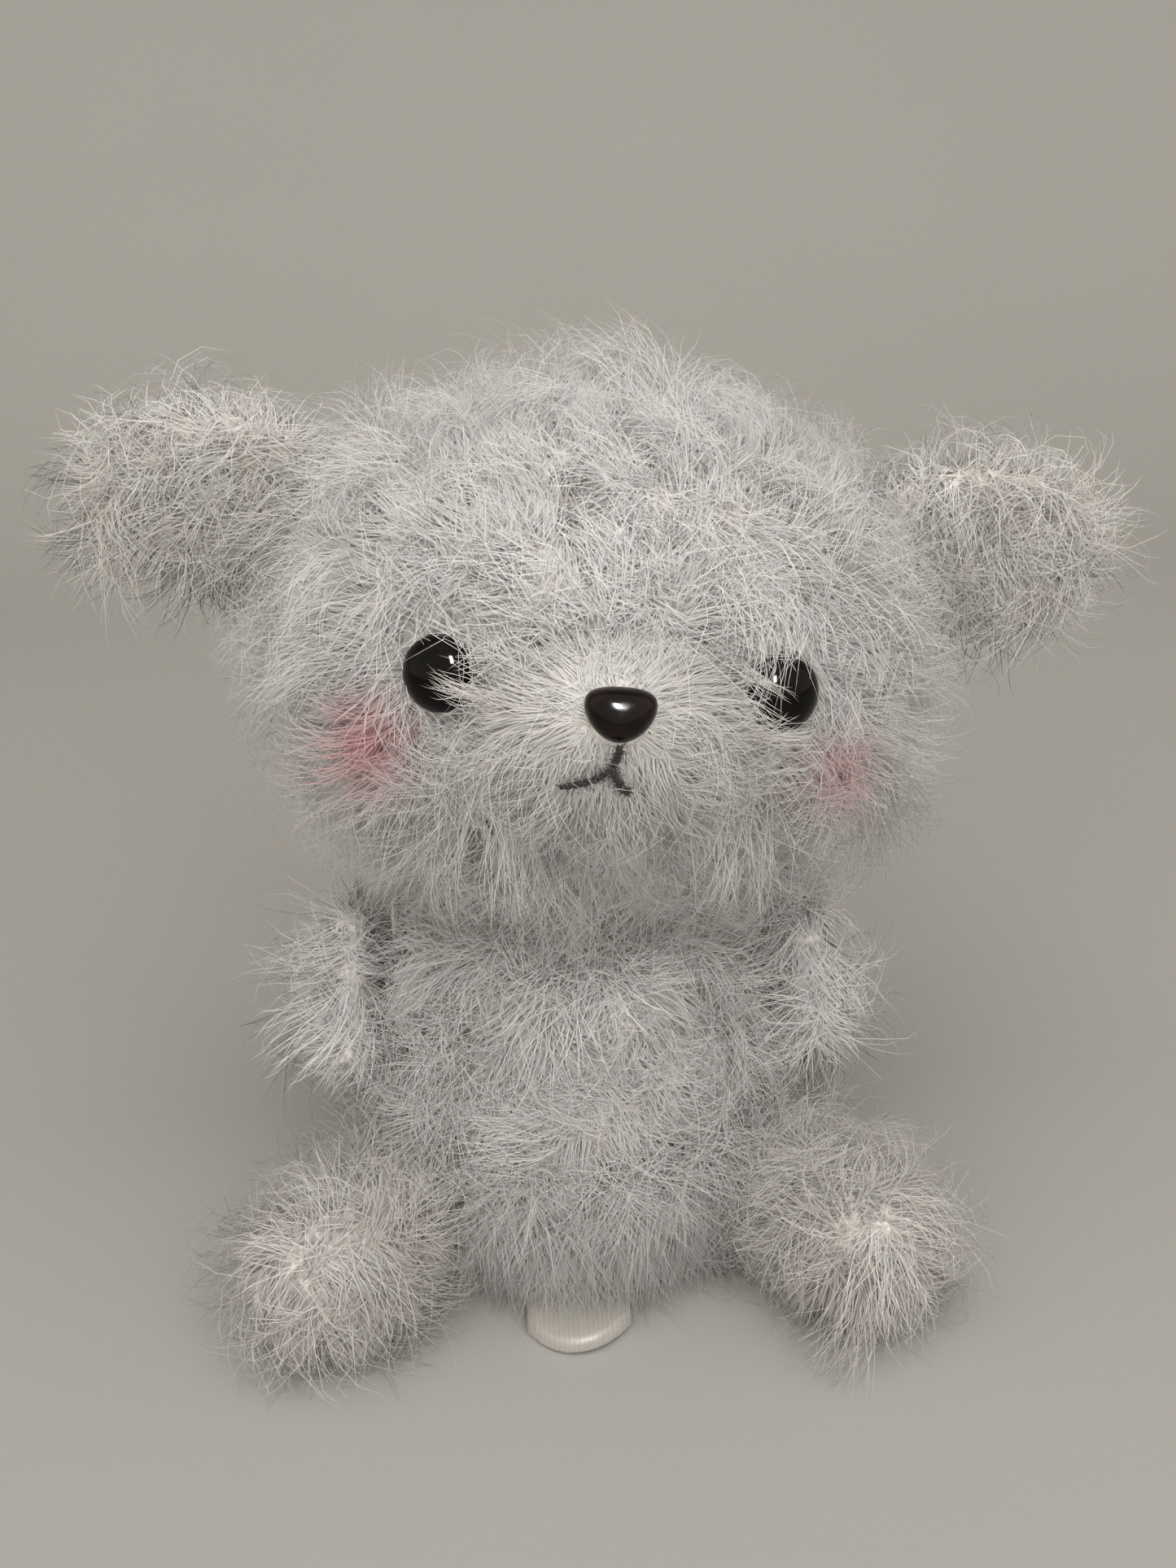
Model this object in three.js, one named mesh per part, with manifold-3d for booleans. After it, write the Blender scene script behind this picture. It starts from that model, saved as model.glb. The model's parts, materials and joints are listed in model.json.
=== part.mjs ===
// A sitting plush dog: a big round head on a small pear-shaped body, with sewn-on limbs, ears and tail.
// Millimetres. +Z up, the face looks along -Y, the dog's own left is +X.
// The origin is on the surface the dog sits on, under the middle of the body.
//
// Every cover is a shell as thick as the fabric's backing plus the dense foot of its pile.
// The loose tips of the pile reach past these solids.

import * as THREE from 'three';
import { ConvexGeometry } from 'three/addons/geometries/ConvexGeometry.js';
import { mergeVertices } from 'three/addons/utils/BufferGeometryUtils.js';
import Module from 'manifold-3d';

// ---------------------------------------------------------------- sizes

const COVER = 5; // backing and dense pile foot
const THIN_COVER = 4; // the same on the small pieces
const GAP = 0.4; // air between neighbouring pieces
const SOCKET_GAP = 1; // air round a limb that swings in a hollow of the body
const FLOOR_GAP = 0.3; // limbs rest this far above the seat, so the seat carries the dog
const PASS = 2; // how far a cut runs past the face it opens
const FILL_HOLE_RADIUS = 2.4; // where a limb or the tail was turned out and filled

// Head
const HEAD_WIDTH = 101;
const HEAD_DEPTH = 88;
const HEAD_HEIGHT = 79;
const HEAD_CENTRE_Z = 107;
const HEAD_FORWARD = 5; // how far the head leans out over the chest
const HEAD_TILT = 7; // degrees, the dog's left side lower

// Neck: the top of the body is a ball that the head sits on
const NECK_RADIUS = 19;
const NECK_PIVOT_Z = 59;
const NECK_HOLE_RADIUS = 9;
const NECK_SEAM_TUBE = 1.1;
const NECK_SEAM_LIFT = 4; // seam height above the pivot

// Eyes
const EYE_DIAMETER = 11;
const EYE_DOME = 4.4;
const EYE_RIM = 0.6; // straight edge below the dome
const EYE_SPACING = 47;
const EYE_LIFT = 7; // above the middle of the head
const EYE_SINK = 1.2; // how deep the eye beds in the pile
const SHANK_DIAMETER = 3;
const SHANK_LENGTH = 7.4;
const WASHER_DIAMETER = 8;
const WASHER_THICKNESS = 1.2;
const WASHER_ROOM = 1.3; // a flat washer against the curved inside of a cover

// Muzzle
const MUZZLE_WIDTH = 35;
const MUZZLE_HEIGHT = 28;
const MUZZLE_DEPTH = 26;
const MUZZLE_OUT = 41; // middle of the muzzle in front of the middle of the head
const MUZZLE_LIFT = 2;

// Nose
const NOSE_WIDTH = 9.4;
const NOSE_HEIGHT = 7.2;
const NOSE_THICKNESS = 3.6;
const NOSE_BEVEL = 1.2;
const NOSE_LIFT = 6.5; // above the middle of the muzzle
const NOSE_SINK = 1.2;
const NOSE_SHANK_LENGTH = 6;
const NOSE_WASHER_DIAMETER = 6;

// Mouth: three stitches of thick thread
const STITCH_DIAMETER = 1;
const STITCH_STAND_OFF = 0.5; // from the muzzle to the side of the thread
const LIP_FORK_DROP = 3; // fork below the nose's lower tip
const LIP_FORK_SHIFT = -0.6; // fork towards the dog's right
const PHILTRUM_DROP = 0.6; // first stitch starts this far below the nose's tip
const LIP_REACH = { left: 2.4, right: 6 };
const LIP_DROP = { left: 3.6, right: 3.4 };

// Ears
const EAR_LENGTH = 41;
const EAR_WIDTH = 27;
const EAR_THICKNESS = 12;
const EAR_BASE_LIFT = 20; // above the middle of the head
const EAR_BASE_BACK = 3;
const EAR_OVERLAP = 5; // how much of the flap is cut away where it meets the head
const EAR_LEAN = 18; // degrees, top of the ear's seam towards the crown
const EAR_DROOP = 22; // degrees, flap below square to its seam
const EAR_FORWARD_SWING = 30;
const EAR_BACK_SWING = 25;

// Body
const BODY_SEAT_RADIUS = 22;
const BODY_LOWER_RADIUS = 32;
const BODY_LOWER_Z = 9.5;
const BODY_HIP_RADIUS = 34;
const BODY_HIP_Z = 19;
const BODY_WAIST_RADIUS = 30; // where the arms lie against the sides
const BODY_WAIST_Z = 42;
const BODY_SHOULDER_RADIUS = 27.5;
const BODY_SHOULDER_Z = 54;
const BODY_TOP_Z = 61;
const BODY_TOP_RADIUS = 16;
const BODY_DEPTH_RATIO = 1.08; // depth over width

// Arms
const ARM_RADIUS = 7.6;
const ARM_LENGTH = 22; // shoulder to the middle of the paw
const SHOULDER_Z = 55;
const SHOULDER_FORWARD = 2; // in front of the middle of the body
const ARM_FORWARD = 34; // degrees in front of hanging straight down
const ARM_SEAM_RADIUS = 4;
const ARM_SEAM_DIAMETER = 1;
const SEAM_ROOM = 1.8; // room for a seam between two covers

// Legs
const LEG_RADIUS = 13;
const LEG_LENGTH = 37; // hip to the middle of the foot
const HIP_SPACING = 47;
const HIP_FORWARD = 11;
const LEG_SPLAY = 34; // degrees outwards from straight ahead
const LEG_SPLAY_OUT = 20;
const LEG_SPLAY_IN = 12;

// Tail
const TAIL_RADIUS = 9;
const TAIL_OUT = 9; // from the tail's pivot to its middle
const TAIL_PIVOT_BACK = 33;
const TAIL_Z = 17;
const TAIL_SWING = 30;

// Care tag: a loop of satin ribbon
const TAG_WIDTH = 17;
const TAG_LENGTH = 25;
const TAG_RIBBON = 0.5;
const TAG_LOOP_GAP = 0.7;
const TAG_ROOT_Y = -26;
const TAG_OFFSET = -3;
const TAG_Z = 1.6;
const TAG_LIFT = 25; // degrees the tag can be lifted

// ---------------------------------------------------------------- tools for solids

const wasm = await Module();
wasm.setup();

const DEGREE = Math.PI / 180;
const BIG = 400;

/** Turns a three.js geometry into a closed solid that can be cut. */
function solid(geometry) {
  const plain = geometry.clone();
  plain.deleteAttribute('normal');
  plain.deleteAttribute('uv');
  const merged = mergeVertices(plain, 1e-4);
  const corners = merged.index.array;
  const kept = [];
  for (let i = 0; i < corners.length; i += 3) {
    const [a, b, c] = [corners[i], corners[i + 1], corners[i + 2]];
    if (a !== b && b !== c && c !== a) {
      kept.push(a, b, c);
    }
  }
  return new wasm.Manifold(new wasm.Mesh({
    numProp: 3,
    vertProperties: new Float32Array(merged.attributes.position.array),
    triVerts: new Uint32Array(kept),
  }));
}

/** Turns a cut solid back into a flat-shaded three.js geometry. */
function geometryOf(body) {
  const mesh = body.getMesh();
  const geometry = new THREE.BufferGeometry();
  geometry.setAttribute('position', new THREE.BufferAttribute(mesh.vertProperties, mesh.numProp));
  geometry.setIndex(new THREE.BufferAttribute(mesh.triVerts, 1));
  geometry.computeVertexNormals();
  return geometry;
}

/** An ellipsoid with its poles on Z, `grow` larger all round. */
function ellipsoid(width, depth, height, { grow = 0, around = 24, rings = 12 } = {}) {
  const ball = new THREE.SphereGeometry(1, around, rings);
  ball.rotateX(Math.PI / 2);
  ball.scale(width / 2 + grow, depth / 2 + grow, height / 2 + grow);
  return ball;
}

/** A ball of this radius. */
function ball(radius, around = 20, rings = 10) {
  return ellipsoid(2 * radius, 2 * radius, 2 * radius, { around, rings });
}

/** A solid turned about Z from [radius, height] pairs. */
function turned(profile, around = 24) {
  const points = profile.map(([radius, height]) => new THREE.Vector2(radius, height));
  const geometry = new THREE.LatheGeometry(points, around);
  geometry.rotateX(Math.PI / 2);
  return geometry;
}

/** A round rod along Z from `low` to `high`. */
function rod(radius, low, high, around = 16) {
  const geometry = new THREE.CylinderGeometry(radius, radius, high - low, around);
  geometry.rotateX(Math.PI / 2);
  geometry.translate(0, 0, (low + high) / 2);
  return geometry;
}

/** A limb along -Y: a round root at the origin and a round end at `length`. */
function limb(radius, length, grow = 0, around = 16) {
  const r = radius + grow;
  const steps = 4;
  const profile = [];
  for (let i = 0; i <= steps; i += 1) {
    const angle = (i / steps) * 90 * DEGREE;
    profile.push([r * Math.sin(angle), -r * Math.cos(angle)]);
  }
  for (let i = 0; i <= steps; i += 1) {
    const angle = (i / steps) * 90 * DEGREE;
    profile.push([r * Math.cos(angle), length + r * Math.sin(angle)]);
  }
  const geometry = turned(profile, around);
  geometry.rotateX(Math.PI / 2);
  return geometry;
}

/** A ring of thread about Z. */
function ring(radius, tube, around = 18) {
  return new THREE.TorusGeometry(radius, tube, 5, around);
}

/** A thread along a curve through these points. */
function thread(points, diameter) {
  const outline = new THREE.Shape();
  outline.absarc(0, 0, diameter / 2, 0, 2 * Math.PI);
  return new THREE.ExtrudeGeometry(outline, {
    extrudePath: new THREE.CatmullRomCurve3(points),
    steps: 6,
    curveSegments: 3,
    bevelEnabled: false,
  });
}

/** The matrix that puts local Z along `direction` at `position`. */
function placement(position, direction) {
  const turn = new THREE.Quaternion().setFromUnitVectors(
    new THREE.Vector3(0, 0, 1),
    direction.clone().normalize(),
  );
  return new THREE.Matrix4().compose(position, turn, new THREE.Vector3(1, 1, 1));
}

/** A copy of this geometry moved by a matrix. */
function moved(geometry, matrix) {
  return geometry.clone().applyMatrix4(matrix);
}

/** The point and outward normal of an ellipsoid's front at (x, z), about its own middle. */
function frontOf(width, depth, height, x, z) {
  const [a, b, c] = [width / 2, depth / 2, height / 2];
  const y = -b * Math.sqrt(1 - (x / a) ** 2 - (z / c) ** 2);
  return {
    point: new THREE.Vector3(x, y, z),
    normal: new THREE.Vector3(x / a ** 2, y / b ** 2, z / c ** 2).normalize(),
  };
}

/** Mirrors a value for the dog's left (+1) or right (-1). */
const SIDES = [['left', 1], ['right', -1]];

// ---------------------------------------------------------------- finishes and assembly

const FINISHES = {
  pile: { color: 0xe9e6e1, roughness: 0.95, metalness: 0 },
  muzzle: { color: 0xf2f0ec, roughness: 0.95, metalness: 0 },
  lining: { color: 0xe4dccd, roughness: 0.95, metalness: 0 },
  stuffing: { color: 0xf4f4f1, roughness: 1, metalness: 0 },
  thread: { color: 0xd9d5cc, roughness: 0.9, metalness: 0 },
  mouth: { color: 0x15110f, roughness: 0.9, metalness: 0 },
  eye: { color: 0x060403, roughness: 0.08, metalness: 0 },
  nose: { color: 0x0d0908, roughness: 0.15, metalness: 0 },
  washer: { color: 0xdedbd2, roughness: 0.55, metalness: 0 },
  satin: { color: 0xf0ede8, roughness: 0.4, metalness: 0 },
};

/** A named mesh with its own material. */
function piece(name, shape, finish) {
  const geometry = shape instanceof THREE.BufferGeometry ? shape : geometryOf(shape);
  const mesh = new THREE.Mesh(geometry, new THREE.MeshStandardMaterial(FINISHES[finish]));
  mesh.name = name;
  return mesh;
}

const dog = new THREE.Group();
dog.name = 'plush_dog';

// ---------------------------------------------------------------- head

// The head turns and nods about the middle of the neck ball.
const head = new THREE.Group();
head.name = 'head';
head.position.set(0, 0, NECK_PIVOT_Z);
head.rotation.y = HEAD_TILT * DEGREE;
dog.add(head);

const headMiddle = new THREE.Vector3(0, -HEAD_FORWARD, HEAD_CENTRE_Z - NECK_PIVOT_Z);

/** The head's outside, `grow` larger, about the neck pivot. */
function headOutside(grow = 0) {
  const shape = ellipsoid(HEAD_WIDTH, HEAD_DEPTH, HEAD_HEIGHT, { grow, around: 28, rings: 14 });
  return shape.translate(headMiddle.x, headMiddle.y, headMiddle.z);
}

/** The hollow of the head, `grow` larger than the inside of its cover. */
function headInside(grow = 0) {
  const shape = ellipsoid(HEAD_WIDTH, HEAD_DEPTH, HEAD_HEIGHT, { grow: grow - COVER });
  return shape.translate(headMiddle.x, headMiddle.y, headMiddle.z);
}

const neckSocket = solid(ball(NECK_RADIUS + SOCKET_GAP, 20, 10));

let headCover = solid(headOutside()).subtract(solid(headInside())).subtract(neckSocket);
let headStuffing = solid(headInside(-GAP)).subtract(neckSocket);

const EYE_RADIUS = EYE_DIAMETER / 2;
const SHANK_RADIUS = SHANK_DIAMETER / 2;
const WASHER_RADIUS = WASHER_DIAMETER / 2;

/** A domed button with a shank behind it, standing on Z = 0. */
function domedEye() {
  const profile = [[0, -SHANK_LENGTH], [SHANK_RADIUS, -SHANK_LENGTH], [SHANK_RADIUS, 0], [EYE_RADIUS, 0]];
  const steps = 5;
  for (let i = 0; i <= steps; i += 1) {
    const angle = (i / steps) * 90 * DEGREE;
    profile.push([EYE_RADIUS * Math.cos(angle), EYE_RIM + (EYE_DOME - EYE_RIM) * Math.sin(angle)]);
  }
  return turned(profile, 20);
}

/** A flat ring round a shank. */
function washer(radius, front) {
  const hole = SHANK_RADIUS + GAP / 2;
  const back = front - WASHER_THICKNESS;
  return turned([[hole, back], [radius, back], [radius, front], [hole, front], [hole, back]], 14);
}

const washerFront = -(COVER - EYE_SINK) - WASHER_ROOM;

for (const [side, sign] of SIDES) {
  const seat = frontOf(HEAD_WIDTH, HEAD_DEPTH, HEAD_HEIGHT, (sign * EYE_SPACING) / 2, EYE_LIFT);
  const at = seat.point.clone().addScaledVector(seat.normal, -EYE_SINK).add(headMiddle);
  const place = placement(at, seat.normal);
  const bed = moved(rod(EYE_RADIUS + GAP, 0, EYE_DOME), place);
  const hole = moved(rod(SHANK_RADIUS + GAP, -SHANK_LENGTH - GAP, PASS), place);
  const pocket = moved(rod(WASHER_RADIUS + GAP, -SHANK_LENGTH - GAP, washerFront + PASS), place);
  headCover = headCover.subtract(solid(bed)).subtract(solid(hole));
  headStuffing = headStuffing.subtract(solid(pocket));

  const eye = piece(`eye_${side}`, domedEye(), 'eye');
  eye.applyMatrix4(place);
  const backing = piece(`eye_washer_${side}`, washer(WASHER_RADIUS, washerFront), 'washer');
  backing.applyMatrix4(place);
  head.add(eye, backing);
}

head.add(piece('head_cover', headCover, 'pile'));
head.add(piece('head_stuffing', headStuffing, 'stuffing'));

// ---------------------------------------------------------------- muzzle, nose and mouth

const muzzleMiddle = headMiddle.clone().add(new THREE.Vector3(0, -MUZZLE_OUT, MUZZLE_LIFT));

/** The muzzle's bump, `grow` larger all round. */
function muzzleBump(grow = 0) {
  const shape = ellipsoid(MUZZLE_WIDTH, MUZZLE_DEPTH, MUZZLE_HEIGHT, { grow, around: 22, rings: 12 });
  return shape.translate(muzzleMiddle.x, muzzleMiddle.y, muzzleMiddle.z);
}

const headWithGap = solid(headOutside(GAP));
let muzzleCover = solid(muzzleBump()).subtract(solid(muzzleBump(-THIN_COVER))).subtract(headWithGap);
let muzzleStuffing = solid(muzzleBump(-THIN_COVER - GAP)).subtract(headWithGap);

/** The nose's outline: a rounded triangle with an arched top and its tip down. */
function noseOutline(shrink) {
  const w = NOSE_WIDTH / 2 - shrink;
  const h = NOSE_HEIGHT / 2 - shrink;
  const outline = new THREE.Shape();
  outline.moveTo(0, -h);
  outline.bezierCurveTo(-0.55 * w, -h, -w, -0.22 * h, -w, 0.36 * h);
  outline.bezierCurveTo(-w, 0.9 * h, -0.55 * w, h, 0, h);
  outline.bezierCurveTo(0.55 * w, h, w, 0.9 * h, w, 0.36 * h);
  outline.bezierCurveTo(w, -0.22 * h, 0.55 * w, -h, 0, -h);
  return outline;
}

const noseSeat = frontOf(MUZZLE_WIDTH, MUZZLE_DEPTH, MUZZLE_HEIGHT, 0, NOSE_LIFT);
const noseAt = noseSeat.point.clone().addScaledVector(noseSeat.normal, -NOSE_SINK).add(muzzleMiddle);

// The nose's own frame: X across, Y up the face, Z outwards.
const noseUp = new THREE.Vector3(0, -noseSeat.normal.z, noseSeat.normal.y).negate();
const nosePlace = new THREE.Matrix4()
  .makeBasis(new THREE.Vector3(1, 0, 0), noseUp, noseSeat.normal)
  .setPosition(noseAt);

const noseFace = new THREE.ExtrudeGeometry(noseOutline(NOSE_BEVEL), {
  depth: NOSE_THICKNESS - 2 * NOSE_BEVEL,
  bevelThickness: NOSE_BEVEL,
  bevelSize: NOSE_BEVEL,
  bevelSegments: 3,
  curveSegments: 4,
});
noseFace.translate(0, 0, NOSE_BEVEL);
const noseShank = solid(rod(SHANK_RADIUS, -NOSE_SHANK_LENGTH, NOSE_BEVEL));
const nose = piece('nose', solid(noseFace).add(noseShank), 'nose');
nose.applyMatrix4(nosePlace);

const noseWasherFront = -(THIN_COVER - NOSE_SINK) - WASHER_ROOM;
const noseWasherRadius = NOSE_WASHER_DIAMETER / 2;
const noseWasher = piece('nose_washer', washer(noseWasherRadius, noseWasherFront), 'washer');
noseWasher.applyMatrix4(nosePlace);
head.add(nose, noseWasher);

const noseBed = moved(rod(NOSE_WIDTH / 2 + GAP, 0, NOSE_THICKNESS), nosePlace);
const noseHole = moved(rod(SHANK_RADIUS + GAP, -NOSE_SHANK_LENGTH - GAP, PASS), nosePlace);
const nosePocket = moved(
  rod(noseWasherRadius + GAP, -NOSE_SHANK_LENGTH - GAP, noseWasherFront + PASS),
  nosePlace,
);
muzzleCover = muzzleCover.subtract(solid(noseBed)).subtract(solid(noseHole));
muzzleStuffing = muzzleStuffing.subtract(solid(nosePocket));
head.add(piece('muzzle_cover', muzzleCover, 'muzzle'));
head.add(piece('muzzle_stuffing', muzzleStuffing, 'stuffing'));

/** A point just off the muzzle, `x` across and `drop` below the nose's seat. */
function onMuzzle(x, drop) {
  const spot = frontOf(MUZZLE_WIDTH, MUZZLE_DEPTH, MUZZLE_HEIGHT, x, NOSE_LIFT - drop);
  const standOff = STITCH_DIAMETER / 2 + STITCH_STAND_OFF;
  return spot.point.addScaledVector(spot.normal, standOff).add(muzzleMiddle);
}

const noseTip = NOSE_HEIGHT / 2;
const forkDrop = noseTip + LIP_FORK_DROP;
const philtrum = [
  onMuzzle(0, noseTip + PHILTRUM_DROP),
  onMuzzle(LIP_FORK_SHIFT, forkDrop - STITCH_DIAMETER),
];
head.add(piece('mouth_philtrum', thread(philtrum, STITCH_DIAMETER), 'mouth'));
for (const [side, sign] of SIDES) {
  const lip = [0, 0.5, 1].map((share) => onMuzzle(
    LIP_FORK_SHIFT + sign * (STITCH_DIAMETER + share * (LIP_REACH[side] - STITCH_DIAMETER)),
    forkDrop + LIP_DROP[side] * share ** 0.7,
  ));
  head.add(piece(`mouth_${side}`, thread(lip, STITCH_DIAMETER), 'mouth'));
}

// ---------------------------------------------------------------- ears

/** One ear's flap, in its own frame: Z along the seam, X outwards, the middle plane at Y = 0. */
function earFlap(matrix) {
  const middle = EAR_LENGTH / 2 - EAR_OVERLAP;
  const flap = ellipsoid(EAR_LENGTH, EAR_THICKNESS, EAR_WIDTH, { around: 20, rings: 12 });
  flap.translate(middle, 0, 0);
  flap.rotateY(EAR_DROOP * DEGREE);
  let shape = solid(flap);
  const toEar = matrix.clone().invert();
  const headInEar = moved(headOutside(SEAM_ROOM), toEar);
  for (const angle of [-EAR_BACK_SWING, -EAR_BACK_SWING / 2, 0, EAR_FORWARD_SWING / 2, EAR_FORWARD_SWING]) {
    const turn = new THREE.Matrix4().makeRotationZ(angle * DEGREE);
    shape = shape.subtract(solid(moved(headInEar, turn)));
  }
  return shape;
}

/** The half of a solid in front of (-1) or behind (+1) its own Y = 0 plane. */
function halfOf(shape, way) {
  const keep = new THREE.BoxGeometry(BIG, BIG, BIG).translate(0, way * (BIG / 2 + GAP / 2), 0);
  return shape.intersect(solid(keep));
}

const earLift = EAR_BASE_LIFT / (HEAD_HEIGHT / 2);
const earBack = EAR_BASE_BACK / (HEAD_DEPTH / 2);
const earOut = (HEAD_WIDTH / 2) * Math.sqrt(1 - earLift ** 2 - earBack ** 2);
const earBase = new THREE.Vector3(earOut + SEAM_ROOM, EAR_BASE_BACK, EAR_BASE_LIFT).add(headMiddle);
const earMatrix = new THREE.Matrix4()
  .makeRotationY(-EAR_LEAN * DEGREE)
  .setPosition(earBase);
const flap = earFlap(earMatrix);
const mirror = new THREE.Matrix4().makeScale(-1, 1, 1);

/** The same solid on the dog's other side. */
function mirrored(shape) {
  return shape.mirror([1, 0, 0]);
}

for (const [side, sign] of SIDES) {
  const ear = new THREE.Group();
  ear.name = `ear_${side}`;
  const matrix = earMatrix.clone();
  if (sign < 0) {
    matrix.premultiply(mirror).multiply(mirror);
  }
  ear.applyMatrix4(matrix);
  const own = sign > 0 ? flap : mirrored(flap);
  ear.add(piece(`ear_${side}_lining`, halfOf(own, -1), 'lining'));
  ear.add(piece(`ear_${side}_back`, halfOf(own, 1), 'pile'));
  head.add(ear);
}

// ---------------------------------------------------------------- body

/** The body's outside, or its hollow when `wall` is the cover's thickness. */
function bodyShape(wall = 0) {
  const curve = new THREE.SplineCurve([
    new THREE.Vector2(BODY_SEAT_RADIUS - wall / 2, wall),
    new THREE.Vector2(BODY_LOWER_RADIUS - wall, BODY_LOWER_Z + wall / 3),
    new THREE.Vector2(BODY_HIP_RADIUS - wall, BODY_HIP_Z),
    new THREE.Vector2(BODY_WAIST_RADIUS - wall, BODY_WAIST_Z),
    new THREE.Vector2(BODY_SHOULDER_RADIUS - wall, BODY_SHOULDER_Z - wall / 3),
    new THREE.Vector2(BODY_TOP_RADIUS - wall / 2, BODY_TOP_Z - wall),
  ]);
  const side = curve.getPoints(9).map((point) => [point.x, point.y]);
  const profile = [[0, wall], ...side, [0, BODY_TOP_Z - wall]];
  const trunk = turned(profile, 26);
  trunk.scale(1, BODY_DEPTH_RATIO, 1);
  const neck = ball(NECK_RADIUS - wall, 20, 10).translate(0, 0, NECK_PIVOT_Z);
  return solid(trunk).add(solid(neck));
}

/** The fan that a ball on an arm of this reach sweeps about a vertical axis at `pivot`. */
function fan(radius, reaches, pivot, angles) {
  const points = [];
  for (const reach of reaches) {
    for (const angle of angles) {
      const end = new THREE.Vector3(reach * Math.sin(angle * DEGREE), -reach * Math.cos(angle * DEGREE), 0);
      const skin = ball(radius, 16, 8).translate(pivot.x + end.x, pivot.y + end.y, pivot.z);
      const place = skin.attributes.position;
      for (let i = 0; i < place.count; i += 1) {
        points.push(new THREE.Vector3().fromBufferAttribute(place, i));
      }
    }
  }
  return solid(new ConvexGeometry(points));
}

const hipZ = LEG_RADIUS + FLOOR_GAP;
const hipOf = (sign) => new THREE.Vector3((sign * HIP_SPACING) / 2, -HIP_FORWARD, hipZ);

/** The room the legs need in the body, `grow` wider than the legs. */
function legRoom(grow) {
  const angles = [LEG_SPLAY - LEG_SPLAY_IN, LEG_SPLAY, LEG_SPLAY + LEG_SPLAY_OUT];
  const left = fan(LEG_RADIUS + grow, [0, LEG_LENGTH], hipOf(1), angles);
  return left.add(mirrored(left));
}

const tailPivot = new THREE.Vector3(0, TAIL_PIVOT_BACK, TAIL_Z);

/** The room the tail needs in the body, `grow` wider than the tail. */
function tailRoom(grow) {
  return fan(TAIL_RADIUS + grow, [-TAIL_OUT], tailPivot, [-TAIL_SWING, 0, TAIL_SWING]);
}

/** The room under the belly for the tag, flat and lifted. */
function tagRoom() {
  const thick = TAG_LOOP_GAP + 2 * TAG_RIBBON + 2 * GAP;
  const slab = new THREE.BoxGeometry(TAG_WIDTH + 2 * GAP, TAG_LENGTH + 2 * GAP, thick);
  slab.translate(0, -TAG_LENGTH / 2, 0);
  const lifted = slab.clone().rotateX(-TAG_LIFT * DEGREE);
  const points = [];
  for (const place of [slab.attributes.position, lifted.attributes.position]) {
    for (let i = 0; i < place.count; i += 1) {
      points.push(new THREE.Vector3().fromBufferAttribute(place, i));
    }
  }
  return solid(new ConvexGeometry(points).translate(TAG_OFFSET, TAG_ROOT_Y, TAG_Z));
}

const neckHole = solid(rod(NECK_HOLE_RADIUS, 0, BIG).translate(0, 0, NECK_PIVOT_Z));
const bodyOutside = bodyShape()
  .subtract(legRoom(SOCKET_GAP))
  .subtract(tailRoom(SOCKET_GAP))
  .subtract(tagRoom());
const bodyInside = (extra) => bodyShape(COVER + extra)
  .subtract(legRoom(SOCKET_GAP + THIN_COVER + extra))
  .subtract(tailRoom(SOCKET_GAP + THIN_COVER + extra));

const bodyCover = bodyOutside.subtract(bodyInside(0)).subtract(neckHole);
dog.add(piece('body_cover', bodyCover, 'pile'));
dog.add(piece('body_stuffing', bodyInside(GAP), 'stuffing'));

const neckSeamRadius = Math.sqrt(NECK_RADIUS ** 2 - NECK_SEAM_LIFT ** 2) + NECK_SEAM_TUBE + GAP;
const neckSeam = piece('neck_seam', ring(neckSeamRadius, NECK_SEAM_TUBE, 24), 'thread');
neckSeam.position.set(0, 0, NECK_PIVOT_Z + NECK_SEAM_LIFT);
dog.add(neckSeam);

// ---------------------------------------------------------------- limbs and tail

/** A cover and its stuffing along -Y from the pivot, with a hole at the root where it was filled. */
function stuffedLimb(name, radius, length) {
  const fillingHole = solid(rod(FILL_HOLE_RADIUS, 0, radius + PASS, 12).rotateX(-Math.PI / 2));
  const cover = solid(limb(radius, length))
    .subtract(solid(limb(radius, length, -THIN_COVER, 12)))
    .subtract(fillingHole);
  const group = new THREE.Group();
  group.name = name;
  group.add(piece(`${name}_cover`, cover, 'pile'));
  group.add(piece(`${name}_stuffing`, limb(radius, length, -THIN_COVER - 2 * GAP, 12), 'stuffing'));
  return group;
}

const shoulderOut = BODY_WAIST_RADIUS + SEAM_ROOM + ARM_RADIUS;

for (const [side, sign] of SIDES) {
  const arm = stuffedLimb(`arm_${side}`, ARM_RADIUS, ARM_LENGTH);
  arm.position.set(sign * shoulderOut, -SHOULDER_FORWARD, SHOULDER_Z);
  arm.rotation.x = (90 - ARM_FORWARD) * DEGREE;
  dog.add(arm);

  const armSeam = piece(`arm_seam_${side}`, ring(ARM_SEAM_RADIUS, ARM_SEAM_DIAMETER / 2), 'thread');
  armSeam.rotation.y = Math.PI / 2;
  armSeam.position.set(sign * (BODY_WAIST_RADIUS + SEAM_ROOM / 2), -SHOULDER_FORWARD, SHOULDER_Z);
  dog.add(armSeam);

  const leg = stuffedLimb(`leg_${side}`, LEG_RADIUS, LEG_LENGTH);
  leg.position.copy(hipOf(sign));
  leg.rotation.z = sign * LEG_SPLAY * DEGREE;
  dog.add(leg);
}

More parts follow.
